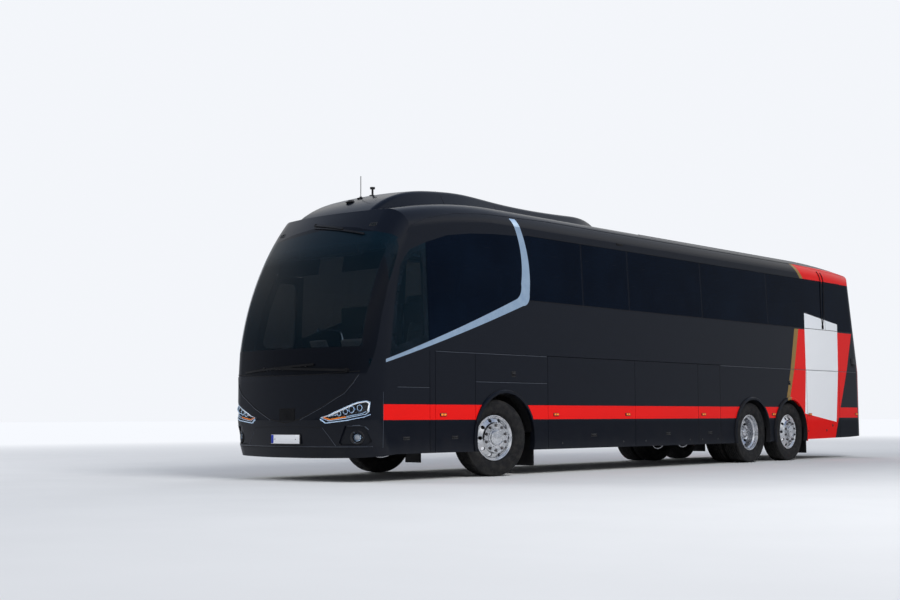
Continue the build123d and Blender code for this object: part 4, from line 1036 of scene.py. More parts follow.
class COACH_OT_head_lamps(bpy.types.Operator):
    """Make the head lamps: dark bucket, light bars, projectors and a clear cover"""

    bl_idname = "coach.head_lamps"
    bl_label = "Head lamps"

    def execute(self, context):
        nose = Skin("head_lamps", "front_bumper", "front_shield").nose
        finishes = ["plastic", "sky_tinted_chrome", "white_lens", "amber_lens", "black"]
        with Piece("head_lamp_insides", finishes, "lamp_lens", smooth=30.0) as bm:
            lamp_shell(bm, False)
            for side in (LEFT, RIGHT):
                for points, radius, lift, index in LAMP_BEADS:
                    skin_line(bm, nose, mirrored(side, points), radius, lift, index, 0.03, 8)
                for across, height, radius in PROJECTORS:
                    place = nose(side * across, height)[0] + Vector((0.0, 0.016, 0.0))
                    projector(bm, aimed(place, (side * 0.12, -1.0, 0.0)), radius)
                for points in LAMP_RIBS:
                    skin_line(bm, nose, mirrored(side, points), 0.006, -0.024, 1, 0.03)
        finishes = ["clear_lens", "paint"]
        with Piece("head_lamp_covers", finishes, "lamp_lens", smooth=30.0, replaces=["head_lamps"]) as bm:
            lamp_shell(bm, True)
            for side in (LEFT, RIGHT):
                parts = [*bm.verts, *bm.edges, *bm.faces]
                bmesh.ops.bisect_plane(bm, geom=parts, plane_co=(side * LENS_END, 0.0, 0.0), plane_no=X_AXIS)
            for face in bm.faces:
                face.material_index = int(abs(face.calc_center_median().x) > LENS_END)
            bmesh.ops.solidify(bm, geom=bm.faces, thickness=0.003)
        return {"FINISHED"}


# Number plate and its holders, as width, depth and height, and the height of the front one's middle
PLATE = (0.520, 0.004, 0.110)
FRONT_HOLDER = (0.540, 0.016, 0.128)
REAR_HOLDER = (0.560, 0.012, 0.150)
PLATE_Z = 0.522
# Lines on the nose, as distance across and height
BUMPER_CREASE = [(-1.215, 0.437), (-0.80, 0.433), (0.0, 0.430), (0.80, 0.433), (1.215, 0.437)]
BUMPER_SEAM = [(0.622, 0.665), (0.700, 0.570), (0.798, 0.444)]
LAMP_LIP = [(0.600, 0.772), (0.680, 0.722), (0.999, 0.756), (1.164, 0.794), (1.216, 0.826)]
LAMP_TIP = [(0.606, 0.768), (0.672, 0.727)]
FOG_BROW = [(0.960, 0.688), (1.120, 0.692), (1.172, 0.676), (1.196, 0.640)]
SENSOR = [
    (-0.082, 0.760), (0.172, 0.760), (0.180, 0.772), (0.176, 0.888), (0.166, 0.895), (-0.072, 0.895),
    (-0.084, 0.884),
]
SENSOR_RIM = [(-0.090, 0.752), (0.186, 0.752), (0.188, 0.902), (-0.090, 0.902), (-0.090, 0.752)]
SHIELD_FOOT = [(-0.62, 0.668), (0.0, 0.676), (0.62, 0.668)]
SHIELD_TOP = [(-1.13, 1.350), (-0.6, 1.322), (0.0, 1.312), (0.6, 1.322), (1.13, 1.350)]
SHIELD_EDGE = [(0.0, 0.723), (0.273, 0.772), (0.614, 0.918), (0.954, 1.096), (1.060, 1.215), (1.117, 1.318)]
# Turned parts of the fog lamps
FOG_BEZEL = [
    (-0.030, 0.092), (0.006, 0.090), (0.016, 0.083), (0.013, 0.072), (-0.004, 0.060), (-0.010, 0.051),
    (-0.016, 0.044),
]
FOG_RING = [(-0.014, 0.049), (0.000, 0.046), (0.003, 0.041), (-0.004, 0.037)]
FOG_LENS = [(-0.008, 0.038), (0.001, 0.031), (0.005, 0.017), (0.006, 0.0)]
# Inner and outer ends of a fog lamp's pocket and their height
FOG_X = (1.004, 1.128)
FOG_Z = 0.549
# Washer jets under the windscreen: distances across and height
WASHERS = (-0.42, 0.36)
WASHER_Z = 1.42


class COACH_OT_nose(bpy.types.Operator):
    """Make the nose fittings: plate, sensor, seams, fog lamps, lips and washers"""

    bl_idname = "coach.nose"
    bl_label = "Nose fittings"

    def execute(self, context):
        nose = Skin("head_lamps", "front_bumper", "front_shield", "windscreen", "fog_lamps").nose
        with Piece("front_plate", ["plastic", "plate", "nut", "blue"]) as bm:
            spots = [(across, height) for across in (0.0, 0.26) for height in (0.46, PLATE_Z, 0.585)]
            front = min(nose(*spot)[0].y for spot in spots)
            block(bm, (0.0, front + 0.003, PLATE_Z), FRONT_HOLDER, 0.005)
            block(bm, (0.0, front - 0.006, PLATE_Z), PLATE, 0.0015, index=1)
            block(bm, (-0.2375, front - 0.0085, PLATE_Z), (0.042, 0.002, 0.104), 0.0008, index=3)
            for across in (-0.19, 0.19):
                face = aimed((across, front - 0.008, PLATE_Z), FORWARDS)
                turned(bm, [(0.0, 0.007), (0.0015, 0.006), (0.0022, 0.0)], face, 12, 2)
        # Beads in the edge finish along the bumper crease, the bumper seams and the fog lamp brows are
        # painted highlights; the dark rubber bead just under the crease is a painted shadow
        with Piece("nose_seams", ["edge", "rubber", "sky_tinted_chrome"], "body_paint") as bm:
            skin_line(bm, nose, BUMPER_CREASE, 0.0035, 0.0, 0, 0.06)
            shadow = [(across, height - 0.012) for across, height in BUMPER_CREASE]
            skin_line(bm, nose, shadow, 0.005, -0.002, 1, 0.06)
            for side in (LEFT, RIGHT):
                skin_line(bm, nose, mirrored(side, BUMPER_SEAM), 0.0028, 0.0, 0, 0.04)
                skin_line(bm, nose, mirrored(side, LAMP_LIP), 0.0075, -0.001, 2, 0.03, 8)
                skin_line(bm, nose, mirrored(side, LAMP_TIP), 0.0115, -0.001, 2, 0.03, 8)
                skin_line(bm, nose, mirrored(side, FOG_BROW), 0.006, 0.001, 0, 0.03, 8)
            skin_line(bm, nose, SHIELD_FOOT, 0.003, -0.001, 1, 0.06)
        with Piece("sensor_cover", ["black", "rubber"]) as bm:
            skin_patch(bm, nose, SENSOR, 0.004)
            skin_line(bm, nose, SENSOR_RIM, 0.004, 0.0, 1, 0.04)
        finishes = ["plastic", "sky_tinted_chrome", "fog_lens"]
        with Piece("fog_lamp_units", finishes, "lamp_lens", smooth=30.0, replaces=["fog_lamps"]) as bm:
            pocket = Skin("front_bumper").nose
            for side in (LEFT, RIGHT):
                near, far = (pocket(side * across, FOG_Z)[0] for across in FOG_X)
                slope = far - near
                face = aimed(near.lerp(far, 0.5), (abs(slope.y) * side, -abs(slope.x), 0.0))
                for index, profile in enumerate((FOG_BEZEL, FOG_RING, FOG_LENS)):
                    turned(bm, profile, face, 40, index)
                for angle in (0.6, 2.7, 4.7):
                    nut(bm, face @ turn_x(angle) @ Matrix.Translation((0.008, 0.0, 0.066)), 0.004, 0.003)
        with Piece("shield_seal", ["plastic", "rubber", "edge"], "rubber") as bm:
            for across in WASHERS:
                place, normal = nose(across, WASHER_Z)
                block(bm, place + normal * 0.004, (0.030, 0.012, 0.014), 0.003)
            skin_line(bm, nose, SHIELD_TOP, 0.005, 0.0, 1, 0.06)
            # A thin bead in the edge finish just under the shield's edge is a painted highlight
            shield_highlight = [(across, height - 0.013) for across, height in SHIELD_EDGE[1:]]
            for side in (LEFT, RIGHT):
                skin_line(bm, nose, mirrored(side, SHIELD_EDGE), 0.0085, -0.003, 1)
                skin_line(bm, nose, mirrored(side, shield_highlight), 0.0035, 0.0, 2)
        return {"FINISHED"}


# CAD nodes that carry the fittings of the sides
SIDE_NODES = [
    "side_wall_left", "side_wall_right", "side_windows", "side_trims", "roof", "driver_window", "front_door",
    "front_door_glass", "middle_door", "middle_door_glass",
    *(name for name in NODES if name.startswith("luggage_flap")),
]
# Upright joints between the panes and lamp markers, as stations
PANE_JOINTS = [4.700, 5.900, 8.035, 10.260, 12.470]
SIDE_MARKERS = [1.554, 3.948, 5.742, 7.933, 10.300, 11.681, 13.617]
MARKER_Z = 0.822
# Stations where the luggage flaps of each side begin and end
FLAP_EDGES = {"left": [3.766, 5.952, 7.780, 8.479], "right": [3.766, 5.952, 7.740]}
# Lines on each side, as station and height
SILL = [(3.45, 2.397), (13.655, 2.397)]
HEAD = [(3.45, 3.313), (13.655, 3.313)]
GUTTER = [
    (1.05, 3.215), (1.36, 3.342), (1.90, 3.462), (2.56, 3.527), (4.0, 3.572), (11.5, 3.572), (13.62, 3.508),
]
CORNER_SEAM = [(0.463, 0.42), (0.463, 1.10)]
# Two thin tubes fixed on the rear panes of the left side
DRAIN_TUBES = [
    [(12.314, 3.500), (12.380, 3.337), (12.330, 2.695), (12.348, 2.450)],
    [(12.444, 3.485), (12.502, 3.326), (12.427, 2.700), (12.360, 2.470)],
]
# Beads with a painted highlight along the folded lower edges of the seams on each side: height, first and
# last station
SEAM_HIGHLIGHT_LINES = {
    "left": [(1.162, 0.710, 1.295), (1.251, 2.210, 3.745), (1.626, 1.420, 3.745), (1.626, 8.510, 13.640)],
    "right": [(1.251, 2.210, 3.745), (1.626, 1.540, 3.745), (1.626, 8.560, 13.640)],
}
# Sunk handles and small covers of both sides: station, height, width and height of the tray
RECESSES = [
    (3.000, 1.369, 0.080, 0.070), (0.869, 0.530, 0.110, 0.034), (1.783, 0.530, 0.110, 0.034),
    (11.600, 0.519, 0.040, 0.030), (12.338, 0.523, 0.030, 0.030), (12.591, 0.614, 0.030, 0.040),
    (10.905, 1.380, 0.070, 0.070),
]
# Station where the front door ends
FRONT_DOOR_END = 1.45
# Small intake of each side: station, height, width and height of its opening, and number of slats
VENT = (13.53, 1.81, 0.16, 0.17)
VENT_SLATS = 6
# Handle of a luggage flap: height, width and height of its tray
FLAP_HANDLE = (0.525, 0.120, 0.036)
LOCK_Z = 0.420
# Inner ribs of a luggage flap: number, height of the lowest and spacing
RIBS = 5
RIB_Z = 0.62
RIB_PITCH = 0.22
FLAP_LOCK = [(-0.004, 0.015), (0.003, 0.015), (0.004, 0.012), (0.0025, 0.009), (0.0025, 0.0)]


def recess(bm, side, distance, height, wide, high):
    """Sunk handle: a dark tray with a raised rim and a finger bar."""
    edge = side * (HALF_WIDTH + 0.001)
    y = station(distance)
    block(bm, (edge - side * 0.001, y, height), (0.004, wide, high), 0.0015, index=1)
    for sign in (-1, 1):
        block(bm, (edge + side * 0.001, y, height + sign * high / 2), (0.006, wide + 0.010, 0.006), 0.002)
        block(bm, (edge + side * 0.001, y + sign * wide / 2, height), (0.006, 0.006, high + 0.008), 0.002)
    block(bm, (edge + side * 0.003, y, height + high * 0.18), (0.005, wide * 0.8, high * 0.28), 0.002)


def vents(bm, side, distance, height, wide, high):
    """Small upright intake with slats."""
    x = side * (side_x(height) + 0.001)
    y = station(distance)
    block(bm, (x, y, height), (0.006, wide, high), 0.002, index=1)
    for row in range(VENT_SLATS):
        z = height - high / 2 + (row + 0.5) * high / VENT_SLATS
        block(bm, (x + side * 0.004, y, z), (0.008, wide * 0.9, 0.008), 0.002)


def side_marker(bm, side, distance, lens_index):
    """Amber lamp with two lenses on a dark base, in the stripe."""
    edge, y = side * HALF_WIDTH, station(distance)
    block(bm, (edge + side * 0.004, y, MARKER_Z), (0.016, 0.122, 0.040), 0.006)
    for shift in (-0.028, 0.028):
        block(bm, (edge + side * 0.009, y + shift, MARKER_Z), (0.014, 0.042, 0.028), 0.005, index=lens_index)


def side_seals(bm, find, side, lines):
    """Seals, gutter and tubes of one side, with beads that carry a painted highlight along its corner seam
    and the folded edges of its seams.
    """
    for distance in PANE_JOINTS:
        skin_line(bm, find, [(distance, 2.402), (distance, 3.308)], 0.004, -0.002, 0, 0.3)
    skin_line(bm, find, SILL, 0.005, -0.001, 0, 0.5)
    skin_line(bm, find, HEAD, 0.005, -0.001, 0, 0.5)
    skin_line(bm, find, GUTTER, 0.006, 0.0, 1, 0.25)
    if side == LEFT:
        # On the left the bead along the corner seam is in the edge finish, a painted highlight
        skin_line(bm, find, CORNER_SEAM, 0.0030, -0.001, 2, 0.1)
        for run in DRAIN_TUBES:
            skin_line(bm, find, run, 0.009, 0.006, 0, 0.08, 8)
        block(bm, find(*DRAIN_TUBES[0][-1], 0.008)[0], (0.026, 0.055, 0.075), 0.010)
    block(bm, find(5.713, 3.396)[0], (0.014, 0.170, 0.032), 0.005)
    # Beads in the edge finish under the seams: painted highlights on their folded lower edges
    for height, start, end in lines:
        skin_line(bm, find, [(start, height), (end, height)], 0.0032, -0.001, 2, 0.5)


def flap_fittings(side, start, end, name):
    """Handle, markers, locks and inner ribs of one luggage flap."""
    middle, length = (start + end) / 2, end - start
    finishes = ["plastic", "black", "amber_lens"]
    with Piece(f"flap_fittings_{name}", finishes, body=f"luggage_flap_{name}") as bm:
        recess(bm, side, middle, *FLAP_HANDLE)
        for distance in SIDE_MARKERS:
            if start < distance < end:
                side_marker(bm, side, distance, 2)
        for share in (-0.35, 0.35):
            lock = (side * (HALF_WIDTH + 0.0005), station(middle + share * length), LOCK_Z)
            turned(bm, FLAP_LOCK, aimed(lock, (side, 0.0, 0.0)), 20)
        for row in range(RIBS):
            centre = (side * (HALF_WIDTH - 0.054), station(middle), RIB_Z + row * RIB_PITCH)
            block(bm, centre, (0.014, length * 0.86, 0.030), 0.005, index=1)


class COACH_OT_sides(bpy.types.Operator):
    """Make the side fittings: lamp markers, handles, locks, seals, gutters and drain tubes"""

    bl_idname = "coach.sides"
    bl_label = "Side fittings"

    def execute(self, context):
        skin = Skin(*SIDE_NODES)
        bay = FLAP_EDGES["left"]
        for word, side in SIDES:
            with Piece(f"side_markers_{word}", ["plastic", "amber_lens"], "lamp_lens") as bm:
                for distance in SIDE_MARKERS:
                    if not bay[0] < distance < bay[-1]:
                        side_marker(bm, side, distance, 1)
            with Piece(f"side_seals_{word}", ["rubber", "paint", "edge"], "rubber") as bm:
                side_seals(bm, skin.flank(side), side, SEAM_HIGHLIGHT_LINES[word])
            with Piece(f"side_recesses_{word}", ["plastic", "black"]) as bm:
                for distance, height, wide, high in RECESSES:
                    if side == LEFT or distance > FRONT_DOOR_END:
                        recess(bm, side, distance, height, wide, high)
                vents(bm, side, *VENT)
        for word, side in SIDES:
            edges = FLAP_EDGES[word]
            for number, (start, end) in enumerate(zip(edges, edges[1:]), 1):
                flap_fittings(side, start, end, f"{word}_{number}")
        return {"FINISHED"}


# Tail lamps: heights and finishes, distance from the middle, and turned parts
TAIL_LAMPS = [(1.655, 3), (1.520, 2), (1.385, 2), (1.250, 1), (1.115, 4)]
TAIL_LAMP_X = 1.125
TAIL_RING = [(-0.006, 0.056), (0.004, 0.055), (0.007, 0.051), (0.004, 0.047), (0.002, 0.045)]
TAIL_LENS = [(0.002, 0.046), (0.006, 0.040), (0.009, 0.024), (0.010, 0.0)]
# Lines on the tail, as distance across and height
REFLECTOR = [(0.86, 0.560), (1.04, 0.560), (1.04, 0.602), (0.86, 0.602)]
LAMP_GROUP = [(1.010, 0.950), (1.190, 0.950), (1.190, 1.770), (1.120, 1.780), (1.010, 0.950)]
REAR_PANE = [(-1.000, 2.445), (1.000, 2.445), (0.955, 3.165), (-0.955, 3.165), (-1.000, 2.445)]
TOW_COVER = [(-0.46, 0.500), (-0.36, 0.500), (-0.36, 0.590), (-0.46, 0.590), (-0.46, 0.500)]
BUMPER_LINE = [(-1.15, 0.452), (0.0, 0.446), (1.15, 0.452)]
WALL_FOLDS = [[(-1.10, 2.26), (0.0, 2.255), (1.10, 2.26)], [(-1.05, 3.33), (0.0, 3.33), (1.05, 3.33)]]
HATCH_PRESS = [(-0.70, 1.46), (0.70, 1.46), (0.70, 2.02), (-0.70, 2.02), (-0.70, 1.46)]
# Height of the rear plate's middle
REAR_PLATE_Z = 0.640
# Handles of the engine hatch: distance from the middle and height
HATCH_HANDLE = (0.62, 0.850)
# Louvres of the engine hatch: number, height of the lowest and spacing
LOUVRES = 7
LOUVRE_Z = 0.960
LOUVRE_PITCH = 0.062


class COACH_OT_tail(bpy.types.Operator):
    """Make the tail fittings: lamp rings, reflectors, plate, hatch handle, seams and tow cover"""

    bl_idname = "coach.tail"
    bl_label = "Tail fittings"

    def execute(self, context):
        tail = Skin("rear_wall", "rear_bumper", "tail_lamps", "rear_window").tail
        finishes = ["sky_tinted_chrome", "amber_lens", "red_lens", "fog_lens", "clear_lens"]
        with Piece("tail_lamp_rings", finishes, "tail_lens", smooth=30.0) as bm:
            for side in (LEFT, RIGHT):
                for height, index in TAIL_LAMPS:
                    face = aimed(*tail(side * TAIL_LAMP_X, height))
                    turned(bm, TAIL_RING, face, 36)
                    turned(bm, TAIL_LENS, face, 36, index)
                skin_patch(bm, tail, mirrored(side, REFLECTOR), 0.006, 0.001, 2, 0.03)
                skin_line(bm, tail, mirrored(side, LAMP_GROUP), 0.003)
        with Piece("rear_plate", ["plastic", "plate"]) as bm:
            place, normal = tail(0.0, REAR_PLATE_Z)
            block(bm, place - normal * 0.002, REAR_HOLDER, 0.005)
            block(bm, place + normal * 0.005, PLATE, 0.0015, index=1)
            for across in (-0.12, 0.12):
                block(bm, place + Vector((across, -0.004, 0.082)), (0.060, 0.020, 0.018), 0.005)
        with Piece("tail_seams", ["rubber", "paint"], "rubber") as bm:
            skin_line(bm, tail, REAR_PANE, 0.006, -0.001, 0, 0.08)
            skin_line(bm, tail, BUMPER_LINE, 0.0035, 0.0, 1, 0.08)
            for line in WALL_FOLDS:
                skin_line(bm, tail, line, 0.004, -0.001, 0, 0.08)
            skin_line(bm, tail, TOW_COVER, 0.003, 0.0, 0, 0.03)
        hatch = Skin("engine_hatch").tail
        with Piece("engine_hatch_fittings", ["plastic", "sky_tinted_chrome", "paint"], body="engine_hatch") as bm:
            for side in (RIGHT, LEFT):
                place, normal = hatch(side * HATCH_HANDLE[0], HATCH_HANDLE[1])
                block(bm, place, (0.120, 0.010, 0.040))
                block(bm, place + normal * 0.006, (0.090, 0.008, 0.016), 0.003, index=1)
            skin_line(bm, hatch, HATCH_PRESS, 0.004, -0.0005, 2, 0.06)
            for row in range(LOUVRES):
                height = LOUVRE_Z + row * LOUVRE_PITCH
                y = hatch(0.0, height + 0.024)[0].y - 0.026
                block(bm, (0.0, y, height), (1.190, 0.034, 0.005), 0.0015, tilt(-28.0))
        return {"FINISHED"}


# Roof hatches: stations, half sizes, and seal, lid and rim as growth, foot, top and finish
HATCH_STATIONS = (7.60, 11.20)
HATCH_HALF = (0.40, 0.33)
HATCH_LAYERS = [(0.05, -0.060, 0.020, 1), (0.0, 0.016, 0.050, 0), (0.05, 0.048, 0.058, 0)]
# Seams across the fairing: distances across and stations
POD_SEAM = (-0.78, -0.60, 0.0, 0.60, 0.78)
POD_SEAM_STATIONS = (2.22, 3.38)
# Slats of the fairing's intake: number, distances across, first station and spacing
SLATS = 7
SLAT = (-0.46, 0.0, 0.46)
SLAT_START = 5.10
SLAT_PITCH = 0.085
# Roof rails: distance from the middle and ends; seams across the roof: distances across and stations
RAIL_X = 0.95
RAIL_ENDS = (6.6, 13.3)
ROOF_SEAM = (-1.08, 0.0, 1.08)
ROOF_SEAM_STATIONS = (4.4, 6.9, 9.5, 11.9, 13.2)
MARKER_RIM = [(0.800, 3.203), (0.900, 3.203), (0.898, 3.241), (0.806, 3.241), (0.800, 3.203)]
# Feet of the aerials: station, radius and height
AERIAL_FEET = [(1.158, 0.062, 0.010), (1.342, 0.040, 0.010), (1.566, 0.034, 0.008)]


class COACH_OT_roof(bpy.types.Operator):
    """Make the roof fittings: fairing seams, hatches, intake, marker bezels and aerial feet"""

    bl_idname = "coach.roof"
    bl_label = "Roof fittings"

    def execute(self, context):
        skin = Skin("roof", "roof_pod", "marker_lamps", "windscreen")
        with Piece("pod_seams", ["rubber"]) as bm:
            for distance in POD_SEAM_STATIONS:
                line = [(across, distance) for across in POD_SEAM]
                skin_line(bm, skin.top, line, 0.0035, -0.001, 0, 0.04)
            for row in range(SLATS):
                line = [(across, SLAT_START + row * SLAT_PITCH) for across in SLAT]
                skin_line(bm, skin.top, line, 0.008, 0.001, 0, 0.06)
        with Piece("roof_hatches", ["paint", "rubber"]) as bm:
            for distance in HATCH_STATIONS:
                place, y = skin.top(0.0, distance)[0], station(distance)
                for grow, low, high, index in HATCH_LAYERS:
                    wide, long = HATCH_HALF[0] + grow, HATCH_HALF[1] + grow
                    corners = ((-wide, -long), (wide, -long), (wide, long), (-wide, long))
                    points = [(across, y + along, place.z + low) for across, along in corners]
                    outline_panel(bm, points, high - low, 0.012, index)
                for across in (-0.18, 0.18):
                    block(bm, (across, y, place.z + 0.059), (0.020, 0.46, 0.012), index=1)
        with Piece("roof_rails", ["paint", "rubber"], "body_paint") as bm:
            for side in (RIGHT, LEFT):
                line = [(side * RAIL_X, distance) for distance in RAIL_ENDS]
                skin_line(bm, skin.top, line, 0.006, 0.0, 0, 0.3)
            for distance in ROOF_SEAM_STATIONS:
                line = [(across, distance) for across in ROOF_SEAM]
                skin_line(bm, skin.top, line, 0.003, -0.001, 1, 0.08)
        with Piece("aerial_feet", ["plastic"]) as bm:
            for side in (LEFT, RIGHT):
                skin_line(bm, skin.nose, mirrored(side, MARKER_RIM), 0.0045, 0.0, 0, 0.02)
            for distance, radius, foot in AERIAL_FEET:
                place = skin.top(0.0, distance)[0] - Vector((0.0, 0.0, 0.004))
                flange = [(0.0, radius + 0.012), (foot * 0.6, radius + 0.010)]
                turned(bm, flange + [(foot, radius), (foot * 1.3, radius * 0.6)], upright(place))
        return {"FINISHED"}


# Passenger seats: first row, distances across of a pair and its middle, floor, width and the door's gap
SEAT_START = 2.900
SEAT_X = (0.455, 0.925)
PAIR_X = 0.690
SEAT_FLOOR = 1.500
SEAT_WIDE = 0.450
DOOR_GAP_ROWS = (7.090, 8.475)
# Driver's seat: distance across, station and floor
DRIVER_X = 0.550
DRIVER_STATION = 1.380
DRIVER_FLOOR = 0.960
# Lean of the seat backs and frames of the short cloth simulation
BACK_LEAN = Matrix.Rotation(math.radians(76.0), 4, "X")
SHELL_LEAN = tilt(-14.0)
CLOTH_FRAMES = 14


def cushion(size, cuts, pinch):
    """Crowned closed form whose sides pull in between its corners."""
    part = bmesh.new()
    bmesh.ops.create_cube(part, size=1.0)
    rounded(part, 0.10)
    long_edges = [edge for edge in part.edges if edge.calc_length() > 0.5]
    bmesh.ops.subdivide_edges(part, edges=long_edges, cuts=cuts, use_grid_fill=True)
    for vert in part.verts:
        x, y, z = vert.co
        crown = (1.0 - (2 * x) ** 2) * (1.0 - (2 * y) ** 2)
        vert.co.z = z * (1.0 + 0.22 * max(0.0, crown))
        vert.co.x = x * (1.0 - pinch * (1.0 - (2 * y) ** 2))
        vert.co.y = y * (1.0 - pinch * (1.0 - (2 * x) ** 2))
    bmesh.ops.scale(part, vec=Vector(size), verts=part.verts)
    return part


def inflate(part, cap):
    """Swell a closed pad with a short cloth simulation and cap how far its points move."""
    shape = bpy.data.meshes.new("pad")
    part.to_mesh(shape)
    pad = bpy.data.objects.new("pad", shape)
    bpy.context.scene.collection.objects.link(pad)
    start = [vert.co.copy() for vert in shape.vertices]
    cloth = pad.modifiers.new("cloth", "CLOTH")
    cloth.settings.quality = 5
    cloth.settings.mass = 0.3
    cloth.settings.use_pressure = True
    cloth.settings.uniform_pressure_force = 4.0
    cloth.settings.tension_stiffness = 18.0
    cloth.settings.compression_stiffness = 18.0
    cloth.settings.effector_weights.gravity = 0.0
    cloth.collision_settings.use_collision = False
    cloth.point_cache.frame_end = CLOTH_FRAMES
    scene = bpy.context.scene
    for number in range(1, CLOTH_FRAMES + 1):
        scene.frame_set(number)
    solved = pad.evaluated_get(bpy.context.evaluated_depsgraph_get())
    ends = [vert.co.copy() for vert in solved.data.vertices]
    scene.frame_set(1)
    bpy.data.objects.remove(pad)
    bpy.data.meshes.remove(shape)
    for vert, first, last in zip(part.verts, start, ends):
        move = last - first
        if move.length > cap:
            move = move.normalized() * cap
        vert.co = first + move


def sew(part, axis, lines, depth=0.006, wide=0.012):
    """Press sewn channels into a pad where it crosses some lines."""
    for vert in part.verts:
        for line in lines:
            gap = abs(vert.co[axis] - line)
            if gap < wide:
                vert.co.z *= 1.0 - depth / max(abs(vert.co.z), 0.02) * (1.0 - gap / wide)


def seat_model():
    """Mesh of the soft parts of one seat, standing on its own floor with its front at the origin."""
    base = cushion((SEAT_WIDE, 0.440, 0.115), 8, 0.020)
    back = cushion((SEAT_WIDE - 0.01, 0.700, 0.095), 8, 0.018)
    head = cushion((0.300, 0.150, 0.075), 5, 0.030)
    for part, cap in ((base, 0.008), (back, 0.008), (head, 0.005)):
        inflate(part, cap)
    for part in (base, back):
        sew(part, 0, (-0.150, 0.150))
    sew(back, 1, (0.120,))
    soft = bmesh.new()
    join(soft, base, 0, Matrix.Translation((0.0, 0.225, 0.405)))
    join(soft, back, 0, Matrix.Translation((0.0, 0.510, 0.770)) @ BACK_LEAN)
    join(soft, head, 1, Matrix.Translation((0.0, 0.545, 1.030)) @ BACK_LEAN)
    return mesh_of(soft, "seat_model")


def seat_places(rows, pitch):
    """Place of every passenger seat: how far across and its station."""
    places = []
    for row in range(rows):
        distance = SEAT_START + row * pitch
        for side in (LEFT, RIGHT):
            if side == LEFT or not DOOR_GAP_ROWS[0] < distance < DOOR_GAP_ROWS[1]:
                places += [(side * across, distance) for across in SEAT_X]
    return places


def seat_shell(bm, across, y, floor):
    """Shell behind a seat's back and pan under its cushion."""
    block(bm, (across, y + 0.572, floor + 0.74), (0.430, 0.016, 0.640), 0.007, SHELL_LEAN, 0, 1)
    block(bm, (across, y + 0.225, floor + 0.335), (0.420, 0.400, 0.030), 0.010, None, 0, 1)


class COACH_OT_seats(bpy.types.Operator):
    """Make the padded seats with their shells, arm rests, pedestal and legs"""

    bl_idname = "coach.seats"
    bl_label = "Seats"

    def execute(self, context):
        settings = context.scene.coach_seats
        model = seat_model()
        places = [(x, station(at), SEAT_FLOOR) for x, at in seat_places(settings.rows, settings.pitch)]
        self.pads("passenger_seat_pads", "passenger_seats", model, places)
        with Piece("passenger_seat_shells", ["trim", "plastic", "steel"], smooth=30.0) as bm:
            for x, y, floor in places:
                seat_shell(bm, x, y, floor)
                block(bm, (x, y + 0.600, floor + 0.62), (0.300, 0.010, 0.180), 0.004, SHELL_LEAN, 1, 1)
                arm = math.copysign(0.228, -x if abs(x) < 0.6 else x)
                block(bm, (x + arm, y + 0.330, floor + 0.600), (0.040, 0.300, 0.030), 0.010, None, 1, 1)
                if abs(x) == SEAT_X[0]:
                    middle = math.copysign(PAIR_X, x)
                    for along in (0.130, 0.370):
                        leg = (middle, y + along, floor + 0.165)
                        block(bm, leg, (0.500, 0.036, 0.320), 0.010, None, 2, 1)
                    block(bm, (middle, y + 0.250, floor + 0.012), (0.540, 0.330, 0.020), 0.006, None, 2, 1)
        x, y, floor = DRIVER_X, station(DRIVER_STATION), DRIVER_FLOOR
        self.pads("driver_seat_pads", "driver_seat", model, [(x, y, floor)])
        with Piece("driver_seat_frame", ["trim", "plastic"], smooth=30.0) as bm:
            seat_shell(bm, x, y, floor)
            for row in range(4):
                wide = 0.300 + 0.020 * (row % 2)
                block(bm, (x, y + 0.235, floor + 0.060 + row * 0.068), (wide, wide, 0.060), 0.014, None, 1)
            block(bm, (x, y + 0.235, floor + 0.012), (0.360, 0.400, 0.024), 0.008, None, 1, 1)
            for arm in (-0.240, 0.240):
                block(bm, (x + arm, y + 0.330, floor + 0.640), (0.045, 0.300, 0.035), 0.012, None, 1, 1)
        bpy.data.meshes.remove(model)
        return {"FINISHED"}

    def pads(self, name, node, model, places):
        """Soft parts of some seats, as one padded piece."""
        with Piece(name, ["cloth", "leather"], "seat_cloth", smooth=60.0, replaces=[node], fill=0.8) as bm:
            for place in places:
                stamp(bm, model, Matrix.Translation(place))


# Luggage racks: first station, spacing, number and length
RACK_START = 2.60
RACK_PITCH = 1.55
RACKS = 7
RACK_LONG = 1.520
READING_LAMP = [(-0.004, 0.030), (0.004, 0.028), (0.006, 0.018), (0.006, 0.0)]
RAIL_FOOT = [(0.0, 0.040), (0.006, 0.038), (0.014, 0.022)]
DIAL = [(-0.004, 0.052), (0.003, 0.051), (0.004, 0.047), (0.001, 0.045), (0.001, 0.0)]
# Grab rails beside the doors, as distance across, station and height
GRAB_RAILS = [[(-0.42, 1.46, 0.965), (-0.42, 1.46, 1.90), (-0.60, 1.50, 1.99), (-0.98, 1.50, 1.99)]]
for distance in (7.74, 8.56):
    post = [(-0.30, distance, 1.51), (-0.30, distance, 2.28)]
    GRAB_RAILS.append(post + [(-0.42, distance, 2.34), (-1.10, distance, 2.34)])
# Distances across of the driver's desk, the screen beside it and the destination display, and its height
DESK_X = 0.55
SCREEN_X = -0.10
DISPLAY_X = 0.045
DISPLAY_Z = 2.970


